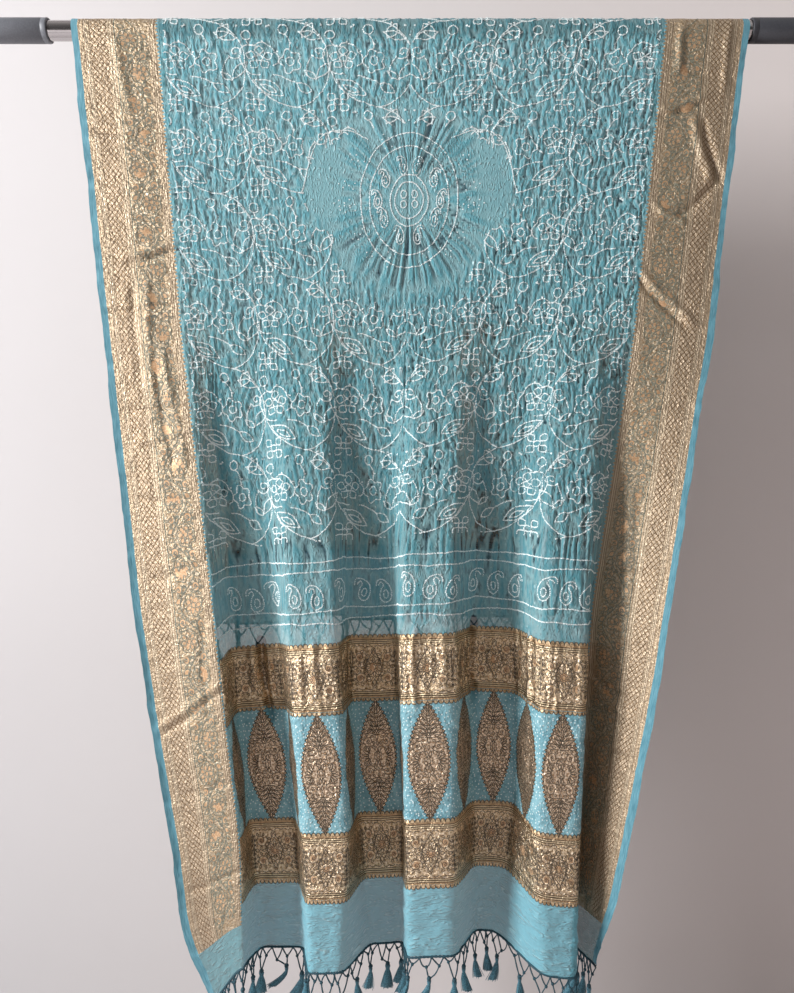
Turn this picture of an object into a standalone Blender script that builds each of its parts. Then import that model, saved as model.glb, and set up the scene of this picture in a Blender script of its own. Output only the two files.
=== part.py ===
"""A tie-dyed dupatta stole draped over a clothes rail.

Frame: metres, +Z up, +X along the rail, the front fall on the -Y side, origin on the rail's axis at mid-length.
The cloth is described as it was cut: "across" runs from the left selvedge to the right one, and "along" runs down
a fall from the level of the rail's axis. Both are flat millimetres, and fall_points turns them into places.
"""

import math

import bpy
import numpy as np

MM = 0.001

# ---------------------------------------------------------------- driving sizes, millimetres
TUBE_RADIUS = 12.5
TUBE_BORE = 11.3
RAIL_HALF_LENGTH = 560.0
RAIL_SIDES = 24
SLEEVE_RADIUS = 15.5
SLEEVE_END_WALL = 2.5
FIT_GAP = 0.3
LEFT_SLEEVE_MOUTH = -462.0
RIGHT_SLEEVE_MOUTH = 469.0

WALL = 1.6
SEAM_HALF = 0.2
# The cloth over the rail turns in this many steps, whose flats clear the tube by FIT_GAP
OVER_STEPS = 8
HUG_RADIUS = (TUBE_RADIUS + FIT_GAP) / math.cos(math.pi / OVER_STEPS / 2) + WALL / 2

# Corners lie whole numbers of COLUMN from the left edge, so that neighbouring pieces share them
COLUMN = 16.5
SELVEDGE_WIDTH = 10.0
BORDER_WIDTH = 7 * COLUMN - SELVEDGE_WIDTH
FACET_WIDTH = 4 * COLUMN
FACETS = 13
FIELD_LEFT = SELVEDGE_WIDTH + BORDER_WIDTH
FIELD_RIGHT = FIELD_LEFT + FACETS * FACET_WIDTH
BORDER_RIGHT = FIELD_RIGHT + BORDER_WIDTH
CLOTH_WIDTH = BORDER_RIGHT + SELVEDGE_WIDTH

# The end panel, counted up from the hem
PLAIN_END = 91.0
LOWER_BAND = 80.0
MEDALLION_BAND = 155.0
UPPER_BAND = 81.0
BORDER_STOP = 58.0
HEM_LEVEL = {"front": 1215.0, "back": 785.0}

# ---------------------------------------------------------------- how the two falls hang, millimetres
# Levels down the front fall at which the edge lines are placed
FRONT_LEVELS = (0.0, 400.0, 760.0, 1050.0, 1130.0, 1215.0)
BACK_LEVELS = (0.0, 400.0, 785.0)
LOW_LEVEL = 1050.0
BAND_LEVEL = 808.0
# The folds deepen between these two levels
FOLD_RISE = {"front": (300.0, 900.0), "back": (40.0, 480.0)}
# How far the folds stand out from the rail's plane, inner and outer
FOLD_REACH = {"front": (-2.0, 64.0), "back": (19.0, 62.0)}
# Share of the front's uneven hang that the shorter back fall has
BACK_DROP_SHARE = 0.4
# Half widths over which fold corners and edge lines are rounded
CORNER_ROUNDING = 10.0
LEVEL_ROUNDING = 35.0

# One row for each edge line: place across, x at FRONT_LEVELS, x at BACK_LEVELS,
# front reach at LOW_LEVEL and hem, back reach, drop at BAND_LEVEL and hem
EDGE_LINES = (
    # across, front x, back x, low reach, hem reach, back reach, band drop, hem drop
    (0.0, (-430, -386, -338, -286, -284, -245), (-430, -374, -318), 30, 0, 32, 42, 74),
    (SELVEDGE_WIDTH, (-421, -377, -329, -277, -272, -236), (-421, -366, -310), 27, 2, 32, 40, 71),
    (FIELD_LEFT, (-314, -281, -229, -196, -196, -195), (-314, -268, -220), 56, 50, 56, 24, -4),
    (FIELD_RIGHT, (351, 310, 257, 242, 238, 234), (351, 300, 246), -8, -10, 22, 8, 4),
    (BORDER_RIGHT, (456, 407, 334, 278, 268, 251), (456, 396, 337), 63, 26, 50, 24, 8),
    (CLOTH_WIDTH, (464, 415, 341, 287, 276, 254), (464, 404, 344), 68, 34, 50, 28, 10),
)

# One row for each fold line between the borders, left to right: x at LOW_LEVEL, x at the hem,
# whether the line stands out (1) or lies back (0), drop at BAND_LEVEL, drop at the hem
FOLD_LINES = (
    # low x, hem x, out, band drop, hem drop
    (-195, -180, 0, 16, 5),
    (-135, -125, 0, 12, 4),
    (-118, -110, 1, 3, 1),
    (-59, -68, 1, 0, 0),
    (-51, -36, 0, 0, 0),
    (8, 7, 0, 0, -1),
    (10, 13, 1, -12, -20),
    (74, 73, 1, -13, -21),
    (101, 103, 0, -12, -18),
    (155, 133, 0, -10, -18),
    (174, 180, 1, -3, 4),
    (230, 226, 1, 0, 8),
)

# ---------------------------------------------------------------- the fringe, millimetres
TASSELS = 33
FRINGE_PARTS = (("left", 0, 11), ("middle", 11, 22), ("right", 22, 33))
HEM_CORD = 3.0
NET_CORD = 1.8
NET_KNOT_DROP = 14.0
TASSEL_KNOT_DROP = 30.0
TASSEL_NECK = 7.0
TASSEL_LENGTH = 27.0
TASSEL_SPREAD = 14.0

LINE_ACROSS = np.array(
    [row[0] for row in EDGE_LINES[:3]]
    + [FIELD_LEFT + FACET_WIDTH * (i + 1) for i in range(len(FOLD_LINES))]
    + [row[0] for row in EDGE_LINES[3:]]
)


def smooth_step(value, low, high):
    """0 below low, 1 above high, and the smooth cubic between them."""
    t = np.clip((value - low) / (high - low), 0.0, 1.0)
    return t * t * (3.0 - 2.0 * t)


def softened(level, levels, values):
    """Straight runs between the levels, with the turns rounded by averaging over a short window."""
    window = np.minimum(LEVEL_ROUNDING, np.maximum(level, 0.0))
    shifts = (-1.0, -0.5, 0.0, 0.5, 1.0)
    return sum(np.interp(level + s * window, levels, values) for s in shifts) / len(shifts)


def fold_lines(side, level):
    """x, reach and drop of every edge and fold line at each level: three arrays, a row for each line."""
    front = side == "front"
    hem = HEM_LEVEL[side]
    inner, outer = FOLD_REACH[side]
    deepening = smooth_step(level, *FOLD_RISE[side])
    to_hem = np.clip((level - LOW_LEVEL) / (hem - LOW_LEVEL), 0.0, 1.0) if front else 0.0 * level
    sag = np.where(level < BAND_LEVEL, (np.maximum(level, 0.0) / BAND_LEVEL) ** 2, 1.0)
    to_hem_drop = np.clip((level - BAND_LEVEL) / (HEM_LEVEL["front"] - BAND_LEVEL), 0.0, 1.0)
    share = 1.0 if front else BACK_DROP_SHARE

    def edge(row):
        across, front_x, back_x, low_reach, hem_reach, back_reach, band_drop, hem_drop = row
        x = softened(level, FRONT_LEVELS, front_x) if front else softened(level, BACK_LEVELS, back_x)
        reach = low_reach + (hem_reach - low_reach) * to_hem if front else back_reach + 0.0 * level
        drop = sag * (band_drop + (hem_drop - band_drop) * to_hem_drop) * share
        return x, HUG_RADIUS + (reach - HUG_RADIUS) * deepening, drop

    edges = [edge(row) for row in EDGE_LINES]
    left, right = edges[2][0], edges[3][0]
    low_left, hem_left = EDGE_LINES[2][1][3], EDGE_LINES[2][1][-1]
    low_right, hem_right = EDGE_LINES[3][1][3], EDGE_LINES[3][1][-1]

    def fold(index, row):
        low_x, hem_x, out, band_drop, hem_drop = row
        even = (index + 1) / FACETS
        low = (low_x - low_left) / (low_right - low_left)
        last = (hem_x - hem_left) / (hem_right - hem_left)
        place = even + (low - even) * deepening
        place = place + (last - place) * to_hem
        reach = HUG_RADIUS + ((outer if out else inner) - HUG_RADIUS) * deepening
        drop = sag * (band_drop + (hem_drop - band_drop) * to_hem_drop) * share
        return left + (right - left) * place, reach, drop

    folds = [fold(i, row) for i, row in enumerate(FOLD_LINES)]
    return [np.array(column) for column in zip(*(edges[:3] + folds + edges[3:]))]


def line_weights(across):
    """How much each edge or fold line counts at each place across, with the fold corners rounded."""
    shifts = np.array((-1.0, -0.5, 0.0, 0.5, 1.0)) * CORNER_ROUNDING
    places = np.clip(across[:, None] + shifts, 0.0, CLOTH_WIDTH)
    hats = [np.interp(places, LINE_ACROSS, row) for row in np.eye(len(LINE_ACROSS))]
    return np.mean(hats, axis=2).T


def fall_points(side, across, along):
    """Places, in metres, of the points (across, along) of one fall."""
    weights = line_weights(across)
    x, reach, drop = [np.sum(weights * rows.T, axis=1) for rows in fold_lines(side, along)]
    y = -reach if side == "front" else reach
    return np.stack([x, y, -(along + drop)], axis=1) * MM


def over_points(across, angle):
    """Places, in metres, on the stretch over the rail; angle 0 is the front tangent and pi the back one."""
    x = line_weights(across) @ fold_lines("front", np.zeros(1))[0][:, 0]
    return np.stack([x, -HUG_RADIUS * np.cos(angle), HUG_RADIUS * np.sin(angle)], axis=1) * MM


def unit(vectors):
    return vectors / np.linalg.norm(vectors, axis=1)[:, None]


def directions(points, across, along, step_along):
    """Unit directions across and along a surface, from small steps, and the normal that turns from along to across."""
    side = unit(points(across + 1.0, along) - points(across - 1.0, along))
    down = unit(points(across, along + step_along) - points(across, along - step_along))
    return side, down, unit(np.cross(down, side))


# ---------------------------------------------------------------- scene, materials and mesh helpers
for old in list(bpy.data.objects):
    bpy.data.objects.remove(old, do_unlink=True)

dupatta = bpy.data.collections.new("draped_dupatta")
bpy.context.scene.collection.children.link(dupatta)


def linear(hex_colour):
    """An sRGB hex colour as linear numbers with an alpha of 1."""
    parts = [int(hex_colour[i : i + 2], 16) / 255 for i in (0, 2, 4)]
    return [c / 12.92 if c <= 0.04045 else ((c + 0.055) / 1.055) ** 2.4 for c in parts] + [1.0]


def material(name, hex_colour, roughness, metallic=0.0):
    made = bpy.data.materials.new(name)
    made.use_nodes = True
    shader = made.node_tree.nodes["Principled BSDF"]
    shader.inputs["Base Color"].default_value = linear(hex_colour)
    shader.inputs["Roughness"].default_value = roughness
    shader.inputs["Metallic"].default_value = metallic
    return made


TEAL_COTTON = material("teal_tie_dyed_cotton", "7FB2BC", 0.85)
SELVEDGE_COTTON = material("teal_selvedge_cotton", "6FB3BF", 0.8)
GOLD_ZARI = material("gold_zari_brocade", "B89A72", 0.5, 0.3)
MEDALLION_CLOTH = material("medallion_brocade", "8FA9A0", 0.6, 0.1)
TASSEL_THREAD = material("dark_teal_thread", "2F5F70", 0.8)
CHROME = material("chromed_steel", "C8C8CC", 0.15, 1.0)
GREY_PLASTIC = material("grey_nylon", "6E7276", 0.5)
DARK_PLASTIC = material("dark_nylon", "34363A", 0.5)


def add_object(name, points, faces, finish):
    """One mesh object at the origin, with its place in its points."""
    mesh = bpy.data.meshes.new(name)
    mesh.from_pydata([tuple(p) for p in points], [], faces)
    mesh.materials.append(finish)
    mesh.validate()
    made = bpy.data.objects.new(name, mesh)
    dupatta.objects.link(made)
    return made


def thickened(name, middle, normals, triangles, outer, inner, finish):
    """A closed wall on an open surface: its faces moved out and in along shared normals, joined by rims."""
    count = len(middle)
    points = np.concatenate([middle + normals * outer[:, None], middle - normals * inner[:, None]])
    faces = [tuple(f) for f in triangles]
    faces += [(c + count, b + count, a + count) for a, b, c in triangles]
    edges = {}
    for a, b, c in triangles:
        for start, end in ((a, b), (b, c), (c, a)):
            if (end, start) in edges:
                del edges[(end, start)]
            else:
                edges[(start, end)] = True
    # The rim's quads are split the same way on both sides of a seam
    for start, end in edges:
        if start < end:
            faces += [(end, start, start + count), (end, start + count, end + count)]
        else:
            faces += [(end, start, end + count), (start, start + count, end + count)]
    return add_object(name, points, faces, finish)


def grid_triangles(columns, rows):
    """Triangles of a grid whose points are numbered column by column, facing out."""
    found = []
    for i in range(columns - 1):
        for j in range(rows - 1):
            a, b = i * rows + j, (i + 1) * rows + j
            found += [(a, a + 1, b + 1), (a, b + 1, b)]
    return found


def edge_signs(count):
    """1 at the first place, -1 at the last and 0 between them."""
    signs = np.zeros(count)
    signs[0], signs[-1] = 1.0, -1.0
    return signs


def fall_panel(name, side, across, along, finish, gather=None):
    """One cloth panel of a fall, as a wall on the draped surface; gather raises its outer points.

    Points on the panel's edges move inwards along the surface, so that the seam between two panels is even.
    """
    columns, rows = len(across), len(along)
    grid_across, grid_along = [g.ravel() for g in np.meshgrid(across, along, indexing="ij")]

    def points(u, v):
        return fall_points(side, u, v)

    sideways, down, normals = directions(points, grid_across, grid_along, 1.0)
    slant = np.linalg.norm(np.cross(sideways, down), axis=1)[:, None]
    inward_across = np.repeat(edge_signs(columns), rows)[:, None]
    inward_along = np.tile(edge_signs(rows), columns)[:, None]
    middle = points(grid_across, grid_along)
    middle += (sideways * inward_across + down * inward_along) * SEAM_HALF * MM / slant
    raised = np.zeros(len(grid_across)) if gather is None else gather(across, along)
    half = np.full(len(grid_across), WALL / 2 * MM)
    triangles = grid_triangles(columns, rows)
    if side == "back":
        normals = -normals
        triangles = [(a, c, b) for a, b, c in triangles]
    return thickened(name, middle, normals, triangles, half + raised * MM, half, finish)


def over_panel(name, start, end, pieces, finish):
    """One panel of the stretch over the rail, wrapped half round it."""
    across = np.linspace(start + SEAM_HALF, end - SEAM_HALF, pieces + 1)
    inset = SEAM_HALF / HUG_RADIUS
    angle = np.linspace(inset, math.pi - inset, OVER_STEPS + 1)
    grid_across, grid_angle = [g.ravel() for g in np.meshgrid(across, angle, indexing="ij")]
    normals = -directions(over_points, grid_across, grid_angle, 0.02)[2]
    half = np.full(len(grid_across), WALL / 2 * MM)
    triangles = [(a, c, b) for a, b, c in grid_triangles(len(across), len(angle))]
    middle = over_points(grid_across, grid_angle)
    return thickened(name, middle, normals, triangles, half, half, finish)


# ---------------------------------------------------------------- the rail


def turned(name, profile, finish):
    """A shape turned about the X axis from (x, radius) corners in millimetres."""
    mesh = bpy.data.meshes.new(name)
    corners = [(x * MM, 0.0, radius * MM) for x, radius in profile]
    closed = profile[0][1] > 0.0
    edges = [(i, i + 1) for i in range(len(corners) - 1)]
    if closed:
        edges.append((len(corners) - 1, 0))
    mesh.from_pydata(corners, edges, [])
    mesh.materials.append(finish)
    made = bpy.data.objects.new(name, mesh)
    dupatta.objects.link(made)
    screw = made.modifiers.new("turn", "SCREW")
    screw.axis = "X"
    screw.steps = RAIL_SIDES
    screw.render_steps = RAIL_SIDES
    screw.use_merge_vertices = True
    screw.merge_threshold = 0.00001
    return made


def sleeve_profile(end, mouth):
    """A cup from its closed end to its mouth, which the tube fills with a small gap."""
    inward = math.copysign(SLEEVE_END_WALL, mouth - end)
    bore = TUBE_RADIUS + FIT_GAP
    return [
        (end, 0.0),
        (end, SLEEVE_RADIUS),
        (mouth, SLEEVE_RADIUS),
        (mouth, bore),
        (end + inward, bore),
        (end + inward, 0.0),
    ]


tube_end = RAIL_HALF_LENGTH - SLEEVE_END_WALL - FIT_GAP
turned(
    "rail_tube",
    [
        (tube_end, TUBE_RADIUS),
        (-tube_end, TUBE_RADIUS),
        (-tube_end, TUBE_BORE),
        (tube_end, TUBE_BORE),
    ],
    CHROME,
)
left_cup = sleeve_profile(-RAIL_HALF_LENGTH, LEFT_SLEEVE_MOUTH)
turned("rail_sleeve_left", list(reversed(left_cup)), GREY_PLASTIC)
turned("rail_sleeve_right", sleeve_profile(RAIL_HALF_LENGTH, RIGHT_SLEEVE_MOUTH), DARK_PLASTIC)

# ---------------------------------------------------------------- the cloth over the rail
STRIPS = (
    # name, start, end, pieces over the rail, finish
    ("selvedge_left", 0.0, SELVEDGE_WIDTH, 1, SELVEDGE_COTTON),
    ("border_left", SELVEDGE_WIDTH, FIELD_LEFT, 1, GOLD_ZARI),
    ("field", FIELD_LEFT, FIELD_RIGHT, 4, TEAL_COTTON),
    ("border_right", FIELD_RIGHT, BORDER_RIGHT, 1, GOLD_ZARI),
    ("selvedge_right", BORDER_RIGHT, CLOTH_WIDTH, 1, SELVEDGE_COTTON),
)
for part, start, end, pieces, finish in STRIPS:
    over_panel("over_" + part, start, end, pieces, finish)

# ---------------------------------------------------------------- the two falls
GATHER_HEIGHT = 1.7
GATHER_FADE = 60.0
FIELD_ROWS = {"front": (0.0, 160.0, 310.0, 440.0, 560.0, 685.0), "back": (0.0, 130.0, 260.0)}


def gathers(across, along):
    """Tie-dye puckers: every other column of points stands out, each by its own uneven share."""
    column = np.arange(len(across))[:, None]
    uneven = 0.65 + 0.35 * np.sin(2.4 * column + along[None, :] * 0.013)
    fade = np.clip(np.minimum(along - along[0], along[-1] - along) / GATHER_FADE, 0.25, 1.0)
    return (GATHER_HEIGHT * (column % 2) * uneven * fade[None, :]).ravel()


def columns_between(start, end, step=COLUMN):
    """start, end and the whole steps between them, less the one nearest a selvedge's seam."""
    places = np.arange(0.0, CLOTH_WIDTH + step, step)
    between = places[(places > start + 0.6 * step) & (places < end - 0.6 * step)]
    return np.concatenate([[start], between, [end]])


for side in ("front", "back"):
    hem = HEM_LEVEL[side]
    lower_foot = hem - PLAIN_END
    lower_top = lower_foot - LOWER_BAND
    upper_foot = lower_top - MEDALLION_BAND
    upper_top = upper_foot - UPPER_BAND
    border_foot = hem - BORDER_STOP
    medallion_middle = (upper_foot + lower_top) / 2
    ends = (upper_top, upper_foot, medallion_middle, lower_top, lower_foot, border_foot, hem)
    levels = np.array(FIELD_ROWS[side] + ends)
    # name, start and end down the fall, finish, gathers
    for part, start, end, finish in (
        ("field", 0.0, upper_top, TEAL_COTTON),
        ("band_upper", upper_top, upper_foot, GOLD_ZARI),
        ("medallions", upper_foot, lower_top, MEDALLION_CLOTH),
        ("band_lower", lower_top, lower_foot, GOLD_ZARI),
        ("plain_end", lower_foot, hem, TEAL_COTTON),
    ):
        puckered = part == "field" and side == "front"
        across = columns_between(FIELD_LEFT, FIELD_RIGHT, COLUMN / 2 if puckered else COLUMN)
        rows = levels[(levels >= start) & (levels <= end)]
        fall_panel(side + "_" + part, side, across, rows, finish, gathers if puckered else None)
    left_border = columns_between(SELVEDGE_WIDTH, FIELD_LEFT)
    right_border = columns_between(FIELD_RIGHT, BORDER_RIGHT)
    left_edge = columns_between(0.0, SELVEDGE_WIDTH)
    right_edge = columns_between(BORDER_RIGHT, CLOTH_WIDTH)
    for part, across, start, end, finish in (
        ("border_left", left_border, 0.0, border_foot, GOLD_ZARI),
        ("border_right", right_border, 0.0, border_foot, GOLD_ZARI),
        ("corner_left", left_border, border_foot, hem, TEAL_COTTON),
        ("corner_right", right_border, border_foot, hem, TEAL_COTTON),
        ("selvedge_left", left_edge, 0.0, hem, SELVEDGE_COTTON),
        ("selvedge_right", right_edge, 0.0, hem, SELVEDGE_COTTON),
    ):
        fall_panel(side + "_" + part, side, across, levels[(levels >= start) & (levels <= end)], finish)

# ---------------------------------------------------------------- the knotted net and tassels


class FlatNet:
    """Points and triangles of a net drawn flat, with each point's half thickness and its shift outwards."""

    def __init__(self):
        self.points = []
        self.thick = []
        self.shift = []
        self.triangles = []

    def point(self, across, down, half=NET_CORD / 2, shift=0.0):
        self.points.append((across, down))
        self.thick.append(half)
        self.shift.append(shift)
        return len(self.points) - 1

    def polygon(self, *corners):
        """A convex or nearly convex face, fanned from its first corner."""
        for i in range(1, len(corners) - 1):
            self.triangles.append((corners[0], corners[i], corners[i + 1]))


def net_knot(net, across, down, size):
    """A triangle with an edge for each of its three cords: left corner, top corner, right corner."""
    left = net.point(across - size, down + 0.6 * size)
    top = net.point(across, down - size)
    right = net.point(across + size, down + 0.6 * size)
    net.polygon(left, right, top)
    return left, top, right


def tassel(net, across, knot):
    """A head below the knot that parts into three locks."""
    neck = TASSEL_KNOT_DROP + TASSEL_NECK
    tip = neck + TASSEL_LENGTH
    half_neck = 2.7
    roots = [net.point(across + half_neck * (2 * i / 3 - 1), neck, 2.2) for i in range(4)]
    net.polygon(knot[0], roots[0], roots[1], roots[2], roots[3], knot[2])
    lock = TASSEL_SPREAD / 3
    for i in range(3):
        centre = across + (i - 1) * lock
        thick, shift = (2.4, 1.4) if i == 1 else (1.8, -1.2)
        left = net.point(centre - 0.36 * lock, tip, thick, shift)
        right = net.point(centre + 0.36 * lock, tip, thick, shift)
        net.polygon(roots[i], left, right, roots[i + 1])


def fringe(name, side, first, last):
    """One length of hem cord with its net and tassels, all fused."""
    net = FlatNet()
    pitch = CLOTH_WIDTH / TASSELS
    half = pitch / 2
    top, root = FIT_GAP, FIT_GAP + HEM_CORD
    start, end = first * pitch + SEAM_HALF, last * pitch - SEAM_HALF
    knots = [start] + [first * pitch + half * i for i in range(1, 2 * (last - first))] + [end]
    tops, lefts, middles, rights = [], [], [], []
    for i, place in enumerate(knots):
        tops.append(net.point(place, top, 1.3))
        middles.append(net.point(place, root, 1.1))
        lefts.append(net.point(place - NET_CORD, root) if i > 0 else middles[-1])
        rights.append(net.point(place + NET_CORD, root) if i < len(knots) - 1 else middles[-1])
    for i in range(len(knots) - 1):
        ring = [tops[i], middles[i], rights[i], lefts[i + 1], middles[i + 1], tops[i + 1]]
        net.polygon(*dict.fromkeys(ring))
    for k in range(last - first):
        centre = (first + k + 0.5) * pitch
        even, odd, after = 2 * k, 2 * k + 1, 2 * k + 2
        hold = net_knot(net, centre, TASSEL_KNOT_DROP, NET_CORD)
        a = net_knot(net, centre - half / 2, NET_KNOT_DROP, 0.8 * NET_CORD)
        b = net_knot(net, centre + half / 2, NET_KNOT_DROP, 0.8 * NET_CORD)
        net.polygon(middles[even], a[0], a[1], rights[even])
        net.polygon(lefts[odd], a[1], a[2], middles[odd])
        net.polygon(middles[odd], b[0], b[1], rights[odd])
        net.polygon(lefts[after], b[1], b[2], middles[after])
        net.polygon(a[0], hold[0], hold[1], a[2])
        net.polygon(b[0], hold[1], hold[2], b[2])
        tassel(net, centre, hold)
    across, down = np.array(net.points).T
    along = HEM_LEVEL[side] + down

    def points(u, v):
        return fall_points(side, u, v)

    normals = directions(points, across, along, 1.0)[2]
    triangles = net.triangles
    if side == "back":
        normals = -normals
        triangles = [(a, c, b) for a, b, c in triangles]
    thick, shift = np.array(net.thick) * MM, np.array(net.shift) * MM
    middle = points(across, along)
    return thickened(name, middle, normals, triangles, thick + shift, thick - shift, TASSEL_THREAD)


for side in ("front", "back"):
    for part, first, last in FRINGE_PARTS:
        fringe(side + "_fringe_" + part, side, first, last)
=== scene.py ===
"""A tie-dyed dupatta stole draped over a clothes rail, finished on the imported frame."""

import math

import bpy
import numpy as np
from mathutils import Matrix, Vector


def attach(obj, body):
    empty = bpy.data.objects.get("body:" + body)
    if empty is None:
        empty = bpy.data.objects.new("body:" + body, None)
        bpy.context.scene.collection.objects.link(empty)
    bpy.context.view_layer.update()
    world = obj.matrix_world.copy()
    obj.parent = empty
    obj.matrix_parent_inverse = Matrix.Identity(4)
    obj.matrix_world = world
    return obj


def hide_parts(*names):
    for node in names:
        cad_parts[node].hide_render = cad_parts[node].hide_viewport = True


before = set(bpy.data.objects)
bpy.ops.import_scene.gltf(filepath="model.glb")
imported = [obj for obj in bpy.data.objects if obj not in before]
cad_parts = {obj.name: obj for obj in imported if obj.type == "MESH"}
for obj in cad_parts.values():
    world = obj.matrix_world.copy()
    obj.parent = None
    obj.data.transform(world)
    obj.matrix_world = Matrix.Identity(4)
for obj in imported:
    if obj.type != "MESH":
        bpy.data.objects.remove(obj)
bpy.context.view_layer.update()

# ---------------------------------------------------------------- the viewpoint, the wall and the daylight
# A level camera stands about a metre in front of the rail. The rail crosses a bare painted wall, and soft
# daylight comes from a tall window on the left, so the wall and the cloth darken to the right.
MM = 0.001
VIEW_PLACE = (0.0, -1.065, -0.620)
VIEW_LENS = 29.0  # on a 36 mm sensor

camera = bpy.data.objects.new("camera", bpy.data.cameras.new("camera"))
bpy.context.scene.collection.objects.link(camera)
camera.location = VIEW_PLACE
camera.rotation_euler = (math.pi / 2, 0.0, 0.0)
camera.data.lens = VIEW_LENS
camera.data.sensor_width = 36.0
camera.data.clip_start = 0.02
bpy.context.scene.camera = camera


def linear(colour):
    """An sRGB hex colour as linear numbers with an alpha of 1."""
    parts = [int(colour[i : i + 2], 16) / 255 for i in (0, 2, 4)]
    return [c / 12.92 if c <= 0.04045 else ((c + 0.055) / 1.055) ** 2.4 for c in parts] + [1.0]


def connect(node, links):
    """Fill a node's sockets, each with what feeds it or with a value."""
    for place, value in links.items():
        if isinstance(value, bpy.types.Node):
            value = value.outputs[0]
        if isinstance(value, bpy.types.NodeSocket):
            node.id_data.links.new(value, node.inputs[place])
        else:
            node.inputs[place].default_value = value


def add(tree, kind, settings=None, links=None, stops=()):
    """One shader node: its settings, its inputs (a value, or what feeds it) and a ramp's stops (place, hex)."""
    made = tree.nodes.new("ShaderNode" + kind)
    for name, value in (settings or {}).items():
        setattr(made, name, value)
    connect(made, links or {})
    for index, (place, colour) in enumerate(stops):
        ramp = made.color_ramp.elements
        stop = ramp[index] if index < 2 else ramp.new(place)
        stop.position, stop.color = place, linear(colour)
    return made


# Settings that many nodes share
BLEND = {"data_type": "RGBA"}
TINT = {"data_type": "RGBA", "blend_type": "MULTIPLY"}
SCALE = {"operation": "SCALE"}


def new_material(name, **sockets):
    """A material with its shader; the sockets named here get a constant."""
    made = bpy.data.materials.new(name)
    made.use_nodes = True
    shader = made.node_tree.nodes["Principled BSDF"]
    connect(shader, {socket.replace("_", " "): value for socket, value in sockets.items()})
    return made, made.node_tree, shader


def shell(name, points, faces, finish, cut=None, crease=None):
    """A smooth mesh object; cut, its UV map, is each point's place on the flat cloth in metres."""
    mesh = bpy.data.meshes.new(name)
    mesh.from_pydata(np.asarray(points, float).tolist(), [], np.asarray(faces).tolist())
    mesh.materials.append(finish)
    mesh.polygons.foreach_set("use_smooth", np.ones(len(mesh.polygons), bool))
    if cut is not None:
        corners = np.zeros(len(mesh.loops), np.int32)
        mesh.loops.foreach_get("vertex_index", corners)
        mesh.uv_layers.new(name="cut").data.foreach_set("uv", cut[corners].astype(np.float32).ravel())
    if crease is not None:
        mesh.attributes.new("crease", "FLOAT", "POINT").data.foreach_set("value", crease.astype(np.float32))
    made = bpy.data.objects.new(name, mesh)
    bpy.context.scene.collection.objects.link(made)
    return made


# Wall paint: matt emulsion, with the faint unevenness of a roller. It is seen from its front only.
WALL_PLACE, FLOOR_PLACE, WALL_TOP, ROOM_HALF = 0.30, -1.50, 2.5, 4.0
wall_paint, tree, shader = new_material("matt_wall_emulsion", Roughness=0.9)
place = add(tree, "TexCoord")
uneven = add(tree, "TexNoise", links={"Vector": place.outputs["Object"], "Scale": 1.3, "Detail": 3.0})
tint = add(tree, "ValToRGB", links={0: uneven}, stops=((0.0, "F4F2F2"), (1.0, "FFFFFF")))
# Painted light: the paint is greyer on the left and lighter on the right, to make up for the daylight that falls
# less on the right
sideways = add(tree, "SeparateXYZ", links={0: place.outputs["Object"]})
painted_light_across = add(tree, "MapRange", links={0: sideways.outputs[0], 1: -0.7, 2: 0.7})
painted_light_tone = add(tree, "Mix", BLEND, {0: painted_light_across, 6: linear("CECBCC"), 7: linear("F2EAE8")})
painted = add(tree, "Mix", TINT, {0: 1.0, 6: painted_light_tone.outputs[2], 7: tint})
# Painted shade: the paint is also darker towards the floor
painted_floor_shade = add(tree, "MapRange", links={0: sideways.outputs[2], 1: -1.4, 2: -0.7, 3: 0.87, 4: 1.0})
painted = add(tree, "VectorMath", SCALE, {0: painted.outputs[2], 3: painted_floor_shade})
connect(shader, {"Base Color": painted})
facing = add(tree, "NewGeometry")
clear = add(tree, "BsdfTransparent")
one_sided = add(tree, "MixShader", links={0: facing.outputs["Backfacing"], 1: shader, 2: clear})
connect(tree.nodes["Material Output"], {"Surface": one_sided})

corners = np.array([(-ROOM_HALF, 0), (ROOM_HALF, 0), (ROOM_HALF, 1), (-ROOM_HALF, 1)])
x, far = corners.T
rise = FLOOR_PLACE + far * (WALL_TOP - FLOOR_PLACE)
wall = shell("wall", np.stack([x, 0 * x + WALL_PLACE, rise], axis=1), [(0, 1, 2, 3)], wall_paint)
depth = (2 * far - 1) * ROOM_HALF
floor = shell("floor", np.stack([x, depth, 0 * x + FLOOR_PLACE], axis=1), [(0, 1, 2, 3)], wall_paint)

for name, place, aim, size, power in (
    ("window_light", (-3.0, -1.5, 0.48), (0.0, 0.0, -0.55), (1.0, 1.6), 184.0),
    ("room_fill", (1.4, -1.6, 1.4), (0.0, 0.0, -0.7), (1.8, 1.8), 2.2),
):
    lamp = bpy.data.lights.new(name, "AREA")
    lamp.shape = "RECTANGLE"
    lamp.size, lamp.size_y = size
    lamp.energy = power
    holder = bpy.data.objects.new(name, lamp)
    bpy.context.scene.collection.objects.link(holder)
    holder.location = place
    toward = Vector(aim) - Vector(place)
    holder.rotation_euler = toward.to_track_quat("-Z", "Y").to_euler()
    holder.visible_camera = False

world = bpy.data.worlds.new("room_light")
world.use_nodes = True
# The room behind the viewer is dim, and its ceiling and side walls throw more light back
tree = world.node_tree
toward = add(tree, "SeparateXYZ", links={0: add(tree, "TexCoord").outputs["Generated"]})
ahead = add(tree, "MapRange", links={0: toward.outputs[1], 1: -1.0, 2: -0.35, 3: 0.02, 4: 0.52})
connect(tree.nodes["Background"], {"Strength": ahead, "Color": linear("EDE8E6")})
bpy.context.scene.world = world
bpy.context.scene.view_settings.view_transform = "Standard"

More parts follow.
